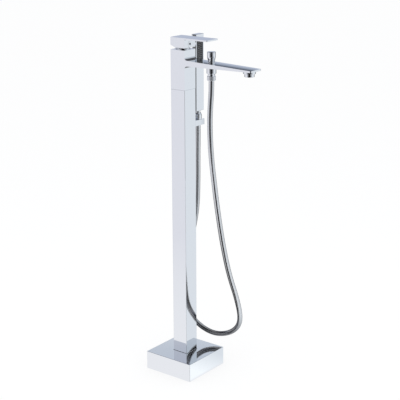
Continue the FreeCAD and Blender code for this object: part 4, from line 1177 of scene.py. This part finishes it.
class GeometryTree(Tree):
    """A Geometry Nodes tree whose inputs are set by name before it first runs."""

    def __init__(self, name: str) -> None:
        """Make the empty tree."""
        group = bpy.data.node_groups.new(name, "GeometryNodeTree")
        super().__init__(group)
        self.sockets: dict[str, str] = {}
        for way in ("INPUT", "OUTPUT"):
            group.interface.new_socket("Geometry", in_out=way, socket_type="NodeSocketGeometry")

    def take(self, **kinds: str) -> list[Wire]:
        """Add named inputs.

        Args:
            kinds: input name, with underscores for spaces, to Float, Int or Material.

        Returns:
            The wire of the incoming geometry, and one for each input.
        """
        names = [key.replace("_", " ") for key in kinds]
        for name, kind in zip(names, kinds.values()):
            socket = self.tree.interface.new_socket(
                name, in_out="INPUT", socket_type=f"NodeSocket{kind}"
            )
            self.sockets[name] = socket.identifier
        outputs = self.node("NodeGroupInput").socket.node.outputs
        return [Wire(self, outputs[name]) for name in ("Geometry", *names)]

    def store(self, geometry: Wire, name: str, value: Wire) -> Wire:
        """Keep a value on each point under a name that the material reads."""
        settings = {"data_type": "FLOAT", "domain": "POINT"}
        values = {"Geometry": geometry, "Name": name, "Value": value}
        return self.node("GeometryNodeStoreNamedAttribute", settings, values)

    def close(self, geometry: Wire, finish: Wire) -> None:
        """Make the geometry real, give it its material and lead it out."""
        real = self.node("GeometryNodeRealizeInstances", None, {"Geometry": geometry})
        painted = self.node("GeometryNodeSetMaterial", None, {"Geometry": real, "Material": finish})
        self.node("NodeGroupOutput", None, {"Geometry": painted})

    def apply(self, piece: Piece, **values: object) -> Piece:
        """Run the tree on a piece and make the result a plain mesh.

        Args:
            piece: the object that carries the modifier.
            values: input name, with underscores for spaces, to its value.

        Returns:
            A new mesh object of the same name.
        """
        step = piece.modifiers.new(self.tree.name, "NODES")
        step.node_group = self.tree
        for key, value in values.items():
            step[self.sockets[key.replace("_", " ")]] = value
        mesh = evaluated_mesh(piece)
        name = piece.name
        bpy.data.objects.remove(piece)
        return add_object(name, mesh)


class NozzleField(GeometryTree):
    """A grid of small round nozzles that stand along +X."""

    sides: int = 20
    rings: int = 3
    top_share: float = 0.62
    tip_share: float = 0.3
    tip_height: float = 0.5
    tip_lift: float = 0.78
    sharp: float = 40.0

    def __init__(self, name: str) -> None:
        """Build the tree."""
        super().__init__(name)
        _, columns, rows, pitch, wide, tall, finish = self.take(
            Columns="Int", Rows="Int", Pitch="Float", Radius="Float", Rise="Float",
            Finish="Material",
        )
        grid = self.node("GeometryNodeMeshGrid", None, {
            "Size X": (columns - 1) * pitch, "Size Y": (rows - 1) * pitch,
            "Vertices X": columns, "Vertices Y": rows,
        })
        cone = self.node("GeometryNodeMeshCone", None, {
            "Vertices": self.sides, "Side Segments": self.rings, "Radius Bottom": wide,
            "Radius Top": wide * self.top_share, "Depth": tall,
        })
        tip = self.node("GeometryNodeMeshCylinder", None, {
            "Vertices": self.sides, "Radius": wide * self.tip_share,
            "Depth": tall * self.tip_height,
        })
        lift = self.node("ShaderNodeCombineXYZ", None, {"Z": tall * self.tip_lift})
        raised = self.node("GeometryNodeTransform", None, {"Geometry": tip, "Translation": lift})
        both = self.node("GeometryNodeJoinGeometry", None, {"Geometry": cone})
        self.tree.links.new(raised.socket, both.socket.node.inputs["Geometry"])
        spread = self.node("GeometryNodeInstanceOnPoints", None, {"Points": grid, "Instance": both})
        self.close(spread, finish)

    def grow(self, name: str, centre: Vector, **values: object) -> Piece:
        """A field of nozzles standing on a face that looks along +X.

        Args:
            name: the piece's name.
            centre: the middle of the field, on the face.
            values: what the tree's inputs are set to.

        Returns:
            The field as a plain mesh object.
        """
        seed = add_object(name, bpy.data.meshes.new(name))
        made = self.apply(seed, Finish=MATERIALS["nozzle_rubber"], **values)
        turn = Matrix(((0, 0, 1, 0), (1, 0, 0, 0), (0, 1, 0, 0), (0, 0, 0, 1)))
        made.data.transform(Matrix.Translation(centre) @ turn)
        made.data.shade_smooth()
        made.data.set_sharp_from_angle(angle=math.radians(self.sharp))
        return made


class RibbedTube(GeometryTree):
    """A tube along a curve with the shallow rings of an interlocked strip.

    Each point keeps how deep it lies in a groove, and how much shade falls on it: below, and
    on the side that looks at the stand in the lower part.
    """

    rings_per_rib: int = 6
    groove_power: float = 4.0
    shade_height: float = 0.62
    shade_gain: float = 2.8
    side_share: float = 0.66
    side_start: float = 0.1
    side_gain: float = 1.8
    under_start: float = -0.1
    under_gain: float = 1.5

    def __init__(self, name: str) -> None:
        """Build the tree."""
        super().__init__(name)
        source, wide, depth, ribs, sides, finish = self.take(
            Radius="Float", Rib_depth="Float", Ribs="Int", Sides="Int", Finish="Material"
        )
        rings = {"Curve": source, "Count": ribs * self.rings_per_rib + 1}
        fine = self.node("GeometryNodeResampleCurve", {"mode": "COUNT"}, rings)
        place = self.node("GeometryNodeInputIndex").loop(self.rings_per_rib)
        groove = (place * 2.0 - 1.0).size().power(self.groove_power)
        marked = self.store(fine, "groove", groove)
        scale = wide - groove * depth
        sized = self.node("GeometryNodeSetCurveRadius", None, {"Curve": marked, "Radius": scale})
        circle = self.node(
            "GeometryNodeCurvePrimitiveCircle", None, {"Resolution": sides, "Radius": 1.0}
        )
        values = {"Curve": sized, "Profile Curve": circle, "Fill Caps": True, "Scale": scale}
        tube = self.node("GeometryNodeCurveToMesh", None, values)
        # painted shade: each point keeps a share of shade, below and towards the stand, that the
        # hose material darkens by
        self.close(self.store(tube, "underside", self.shade()), finish)

    def shade(self) -> Wire:
        """Share of shade at a point of the tube, from where it is and where it looks."""
        face_east, face_north, face_up = self.split(self.node("GeometryNodeInputNormal"))
        east, north, height = self.split(self.node("GeometryNodeInputPosition"))
        outward = (face_east * east + face_north * north) / flat_length(east, north)
        lowness = ((self.shade_height - height) * self.shade_gain).clamped()
        side = ((self.side_start - outward) * self.side_gain).clamped()
        below = ((self.under_start - face_up) * self.under_gain).clamped()
        return (below + side * lowness * self.side_share).clamped()


# --- Shower hose ---
@dataclass
class ShowerHose:
    """Hose from the outlet nut to the cone nut, at its full length."""

    radius: float = 7.0 * MM
    rib_pitch: float = 2.5 * MM
    rib_depth: float = 0.08 * MM
    length: float = 1.447
    curve_steps: int = 24
    curve_order: int = 3
    sides: int = 24
    from_outlet: Sequence[Triple] = (
        (0.091, 0.0, 0.0), (0.091, 0.0, 0.0295), (0.091, -0.005, 0.0675), (0.0905, -0.0065, 0.1175),
    )
    loop: Sequence[Triple] = (
        (0.0935, -0.0055, 0.617), (0.096, 0.004, 0.5435), (0.095, 0.0205, 0.4625),
        (0.0975, 0.0405, 0.362), (0.1012, 0.0645, 0.2711), (0.1139, 0.0862, 0.1929),
        (0.1166, 0.0987, 0.1355), (0.0982, 0.1059, 0.0998), (0.0653, 0.1047, 0.0765),
        (0.0292, 0.0919, 0.0724), (-0.008, 0.0810, 0.0879), (-0.036, 0.0637, 0.1236),
        (-0.0439, 0.0617, 0.1915), (-0.0356, 0.059, 0.2711), (-0.0226, 0.0594, 0.3544),
        (-0.0055, 0.0625, 0.437),
    )
    to_holder: Sequence[Triple] = (
        (-0.0015, 0.0615, 0.1505), (-0.001, 0.061, 0.0805), (0.0, 0.061, 0.0315), (0.0, 0.061, 0.0),
    )

    def build(self) -> None:
        """Make the hose in place of the frame's hose."""
        top = span("outlet_hose_nut")[0].z
        end = span("handset_hose_nut")[0].z
        points = [(x, y, top - drop) for x, y, drop in self.from_outlet]
        points += list(self.loop)
        points += [(x, y, end - drop) for x, y, drop in self.to_holder]
        route = self.make_route(points)
        line = self.read_line(route)
        piece = RibbedTube("ribbed_tube").apply(
            route, Radius=self.radius, Rib_depth=self.rib_depth,
            Ribs=round(self.length / self.rib_pitch), Sides=self.sides,
            Finish=MATERIALS["hose_metal"],
        )
        piece.data.shade_smooth()
        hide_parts("shower_hose")
        coat(piece, "hose_metal")
        points[-1][:1] + points[0][1:]
        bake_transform(piece)
        LOG.info("hose of %.3f m follows the hand shower", self.length)

    def make_route(self, points: Sequence[Triple]) -> Piece:
        """The hose's centre line as a smooth spline."""
        curve = bpy.data.curves.new("hand_shower_hose", "CURVE")
        curve.dimensions = "3D"
        curve.resolution_u = self.curve_steps
        spline = curve.splines.new("NURBS")
        spline.points.add(len(points) - 1)
        for point, place in zip(spline.points, points):
            point.co = (*place, 1.0)
        spline.order_u = self.curve_order
        spline.use_endpoint_u = True
        return add_object("hand_shower_hose", curve)

    def read_line(self, route: Piece) -> list[Vector]:
        """Points along the spline."""
        mesh = evaluated_mesh(route)
        line = [vertex.co.copy() for vertex in mesh.vertices]
        bpy.data.meshes.remove(mesh)
        return line


# --- Inner pieces and studio ---
def dress_frame_nodes() -> None:
    """Give every node that stays shown the material of its slot."""
    slots = {entry["node"]: entry["material_slot"] for entry in frame["record"]["subparts"]}
    for name, node in frame["nodes"].items():
        if not node.hide_render:
            coat(node, slots[name])


@dataclass
class Studio:
    """Camera, soft light and pale surroundings."""

    eye: Triple = (1.75372, -2.18859, 1.30153)
    pitch: float = 16.369
    yaw: float = 127.846
    roll: float = -0.2136
    lens: float = 99.318
    sensor: float = 36.0
    sight: float = 60.0
    dark_reach: float = 25.0
    dark_blur: float = 0.03
    fringe_reach: float = 50.0
    fringe_blur: float = 0.16
    fringe_tone: Triple = (0.30, 0.31, 0.33)
    dark_tone: Triple = (0.02, 0.02, 0.022)
    mat_gap: float = 0.2 * MM
    mat_rise: float = 0.4 * MM
    mat_left: float = 34.0
    mat_right: float = 40.0
    mat_near: float = 0.8
    mat_steps: int = 48
    mat_grain: float = 400.0
    mat_roughness: float = 0.9
    mat_tone: Triple = (0.012, 0.012, 0.013)
    back_blur: float = 0.15
    back_reach: float = 62.0
    back_grey: float = 0.20
    back_height: float = 0.85
    back_fade: float = 0.15
    right_turn: float = 75.0
    right_reach: float = 40.0
    right_fade: float = 0.2
    sky_gain: float = 4.0
    right_tone: Triple = (0.72, 0.76, 0.80)
    floor_radius: float = 14.0
    floor_depth: float = 0.02
    floor_white: float = 0.8
    floor_cloud: float = 3.0
    floor_segments: int = 64
    floor_low: Triple = (0.90, 0.91, 0.93)
    floor_high: Triple = (0.92, 0.93, 0.95)
    near_reach: float = 1.2
    near_power: float = 1.5
    side_slope: float = 0.35
    front_end: float = -0.01
    front_fade: float = 0.13
    beside_fade: float = 0.01
    back_start: float = 0.05
    back_run: float = 0.03
    front_floor: Triple = (1.12, 1.17, 1.20)
    near_left: Triple = (0.96, 0.97, 1.0)
    near_right: Triple = (0.83, 0.88, 0.93)
    far_left: Triple = (0.85, 0.86, 0.92)
    far_right: Triple = (0.83, 0.88, 0.93)
    ceiling: Stops = (
        (0.0, (0.86, 0.87, 0.91)), (0.55, (0.30, 0.33, 0.40)), (0.60, (0.06, 0.065, 0.08)),
        (0.93, (0.05, 0.05, 0.06)), (1.0, (0.40, 0.40, 0.41)),
    )
    wall_reach: float = 2.0
    wall_height: float = 1.6
    wall_segments: int = 120
    wall_tones: Stops = (
        (0.45, (1.0, 1.0, 1.0)), (0.59, (0.71, 0.75, 0.80)), (0.745, (0.61, 0.64, 0.74)),
        (0.80, (0.45, 0.49, 0.57)), (0.86, (0.18, 0.20, 0.24)), (0.91, (0.06, 0.06, 0.08)),
    )
    lamp_place: Triple = (0.6, -0.8, 3.0)
    lamp_aim: Triple = (0.6, -0.8, 2.4)
    lamp_size: float = 2.4
    lamp_power: float = 18.0

    def build(self) -> None:
        """Set up everything round the object."""
        self.make_camera()
        self.make_world()
        self.make_floor()
        self.make_backdrop()
        self.make_dark_mat()
        self.make_lamp()
        bpy.context.scene.view_settings.view_transform = "Standard"

    @property
    def front(self) -> float:
        """Angle of the studio's front, from +X."""
        return math.atan2(self.eye[1], self.eye[0])

    def sector(self, east: Wire, north: Wire, turn: float, reach: float, blur: float) -> Wire:
        """Share from 0 to 1 of a sector seen from the middle.

        Args:
            east: X of a place or direction.
            north: Y of it.
            turn: the sector's middle, in degrees from the studio's front.
            reach: half of its width in degrees.
            blur: softness of its sides.

        Returns:
            1 inside the sector and 0 outside.
        """
        way = self.front + math.radians(turn)
        flat = flat_length(east, north) + TINY
        ahead = (east * math.cos(way) + north * math.sin(way)) / flat
        return ((ahead - math.cos(math.radians(reach)) + blur) / (2 * blur)).clamped()

    def shaded_front(self, tree: Tree, tone: Wire, east: Wire, north: Wire) -> Wire:
        """A tone with the dark front in it, which has a grey fringe."""
        fringe = self.sector(east, north, 0.0, self.fringe_reach, self.fringe_blur)
        core = self.sector(east, north, 0.0, self.dark_reach, self.dark_blur)
        return tree.blend(core, tree.blend(fringe, tone, self.fringe_tone), self.dark_tone)

    def lit_right(self, tree: Tree, tone: Wire, east: Wire, north: Wire, share: Wire) -> Wire:
        """A tone with the pale right side in it, by a share that rises with the height."""
        right = self.sector(east, north, self.right_turn, self.right_reach, self.back_blur)
        return tree.blend(right * share, tone, self.right_tone)

    def make_camera(self) -> None:
        """Camera at the photograph's viewing angle."""
        pitch, yaw, roll = (math.radians(a) for a in (self.pitch, self.yaw, self.roll))
        forward = Vector((
            math.cos(pitch) * math.cos(yaw), math.cos(pitch) * math.sin(yaw), -math.sin(pitch)
        ))
        right = Vector((math.sin(yaw), -math.cos(yaw), 0.0))
        up = right.cross(forward)
        level_right = right * math.cos(roll) + up * math.sin(roll)
        level_up = up * math.cos(roll) - right * math.sin(roll)
        data = bpy.data.cameras.new("camera")
        data.lens = self.lens
        data.sensor_width = self.sensor
        data.clip_end = self.sight
        camera = add_object("camera", data)
        turn = Matrix((level_right, level_up, -forward)).transposed().to_4x4()
        camera.matrix_world = Matrix.Translation(self.eye) @ turn
        bpy.context.scene.camera = camera

    def make_world(self) -> None:
        """Studio of a pale sweep, a dark ceiling and a dark front; white to the camera."""
        world = bpy.data.worlds.new("studio")
        bpy.context.scene.world = world
        world.use_nodes = True
        tree = Tree(world.node_tree)
        east, north, height = tree.split(tree.node("ShaderNodeTexCoord", output="Generated"))
        wall = tree.node("ShaderNodeValToRGB", {"stops": self.ceiling}, {"Fac": height * 0.5 + 0.5})
        sides = self.lit_right(tree, wall, east, north, (height * self.sky_gain).clamped())
        room = self.shaded_front(tree, sides, east, north)
        rays = tree.node("ShaderNodeLightPath").socket.node.outputs
        mirrored = Wire(tree, rays["Is Glossy Ray"]) + Wire(tree, rays["Is Transmission Ray"])
        white = tree.node("ShaderNodeBackground", None, {"Color": (1, 1, 1, 1), "Strength": 1.0})
        shown = tree.node("ShaderNodeBackground", None, {"Color": room, "Strength": 1.0})
        both = tree.node("ShaderNodeMixShader", None, {0: mirrored.clamped(), 1: white, 2: shown})
        tree.node("ShaderNodeOutputWorld", None, {"Surface": both})

    def make_floor(self) -> None:
        """Pale floor that keeps a faint shadow."""
        outline = box_corners((0, -self.floor_depth), (self.floor_radius, 0))
        floor = lathe("floor", outline, segments=self.floor_segments)
        paint = Paint("pale_floor")
        tone = paint.blend(paint.noise(self.floor_cloud), self.floor_low, self.floor_high)
        cloth = paint.node("ShaderNodeBsdfDiffuse", None, {"Color": tone})
        rays = paint.node("ShaderNodeLightPath", output="Is Camera Ray")
        bounced = Wire(paint, rays.socket.node.outputs["Is Glossy Ray"])
        white = paint.glow((1, 1, 1, 1))
        glow = paint.glow(self.pale_tone(paint))
        values = {0: rays * self.floor_white, 1: cloth, 2: white}
        seen = paint.node("ShaderNodeMixShader", None, values)
        mirrored = paint.node("ShaderNodeMixShader", None, {0: bounced, 1: seen, 2: glow})
        paint.node("ShaderNodeOutputMaterial", None, {"Surface": mirrored})
        floor.data.materials.append(paint.material)

    def pale_tone(self, paint: Paint) -> Wire:
        """Bright near the object, tinted further off on either side, and grey behind."""
        east, north, height = paint.split(paint.place())
        away = (flat_length(east, north) / self.near_reach).clamped().power(self.near_power)
        across = ((east + north) * self.side_slope + 0.5).clamped()
        far = paint.blend(across, self.far_left, self.far_right)
        behind = north.ramp(self.front_end, self.front_fade)
        right = paint.blend(behind, self.front_floor, self.near_right)
        beside = east.ramp(span("base_cover")[1].x, self.beside_fade)
        sweep = paint.blend(away, paint.blend(beside, self.near_left, right), far)
        back = self.sector(east, north, 180.0, self.back_reach, self.back_blur)
        low = ((self.back_height - height) / self.back_fade).clamped()
        outside = away.ramp(self.back_start, self.back_run)
        return paint.blend(back * low * outside, sweep, (self.back_grey,) * 3)

    def make_backdrop(self) -> None:
        """Round backdrop that only mirror surfaces show, pale below and dark at its top."""
        shape = bmesh.new()
        heights = (0.0, self.wall_height)
        foot, top = (ring(shape, self.wall_reach, z, self.wall_segments) for z in heights)
        bridge(shape, foot, top)
        wall = new_piece("backdrop", shape)
        paint = Paint("pale_backdrop")
        east, north, height = paint.split(paint.place())
        fade = paint.node(
            "ShaderNodeValToRGB", {"stops": self.wall_tones}, {"Fac": height / self.wall_height}
        )
        share = height.ramp(self.back_height, self.right_fade)
        sides = self.lit_right(paint, fade, east, north, share)
        lit = paint.blend(1.0, self.pale_tone(paint), sides, "MULTIPLY")
        glow = paint.glow(self.shaded_front(paint, lit, east, north))
        paint.node("ShaderNodeOutputMaterial", None, {"Surface": glow})
        wall.data.materials.append(paint.material)
        self.only_in_mirrors(wall)

    @staticmethod
    def only_in_mirrors(thing: Piece) -> None:
        """Stage a thing that nothing but a mirror surface shows."""
        thing.visible_camera = False
        thing.visible_diffuse = False
        thing.visible_shadow = False

    def make_dark_mat(self) -> None:
        """Dark mat on the floor before the object, wide near it and narrow further off."""
        left, right = math.radians(self.mat_left), math.radians(self.mat_right)
        shape = bmesh.new()
        corner = span("base_cover")[1].x + self.mat_gap
        apex = shape.verts.new((corner, -corner, self.mat_rise))
        rim = []
        for step in range(self.mat_steps + 1):
            aside = -left + (left + right) * step / self.mat_steps
            far = abs(aside) < math.radians(self.dark_reach)
            length = self.wall_reach - 2 * corner if far else self.mat_near
            angle = self.front + aside
            rim.append(shape.verts.new((
                corner + length * math.cos(angle), -corner + length * math.sin(angle),
                self.mat_rise,
            )))
        for one, two in zip(rim, rim[1:]):
            shape.faces.new((apex, one, two))
        mat = new_piece("dark_mat", shape)
        paint = Paint("dark_cloth")
        tone = paint.blend(paint.noise(self.mat_grain), self.mat_tone, self.dark_tone)
        mat.data.materials.append(paint.finish(Base_Color=tone, Roughness=self.mat_roughness))
        self.only_in_mirrors(mat)

    def make_lamp(self) -> None:
        """Large soft lamp overhead."""
        data = bpy.data.lights.new("soft_lamp", "AREA")
        data.shape = "DISK"
        data.size = self.lamp_size
        data.energy = self.lamp_power
        lamp = add_object("soft_lamp", data)
        lamp.location = self.lamp_place
        lamp.rotation_mode = "QUATERNION"
        lamp.rotation_quaternion = Vector(self.lamp_aim).to_track_quat("Z", "Y")
        lamp.visible_glossy = False
        lamp.visible_camera = False


def main() -> None:
    """Build the studio and every sub-assembly in order."""
    logging.basicConfig(level=logging.INFO, format="%(name)s: %(message)s")
    assemblies = (
        Studio(), ShowerHose(), Foot(), MixerHead(), Handle(), Diverter(), Holder(), HandShower(),
    )
    for assembly in assemblies:
        assembly.build()
        LOG.info("%s built", type(assembly).__name__)
    dress_frame_nodes()


if __name__ == "__main__":
    main()
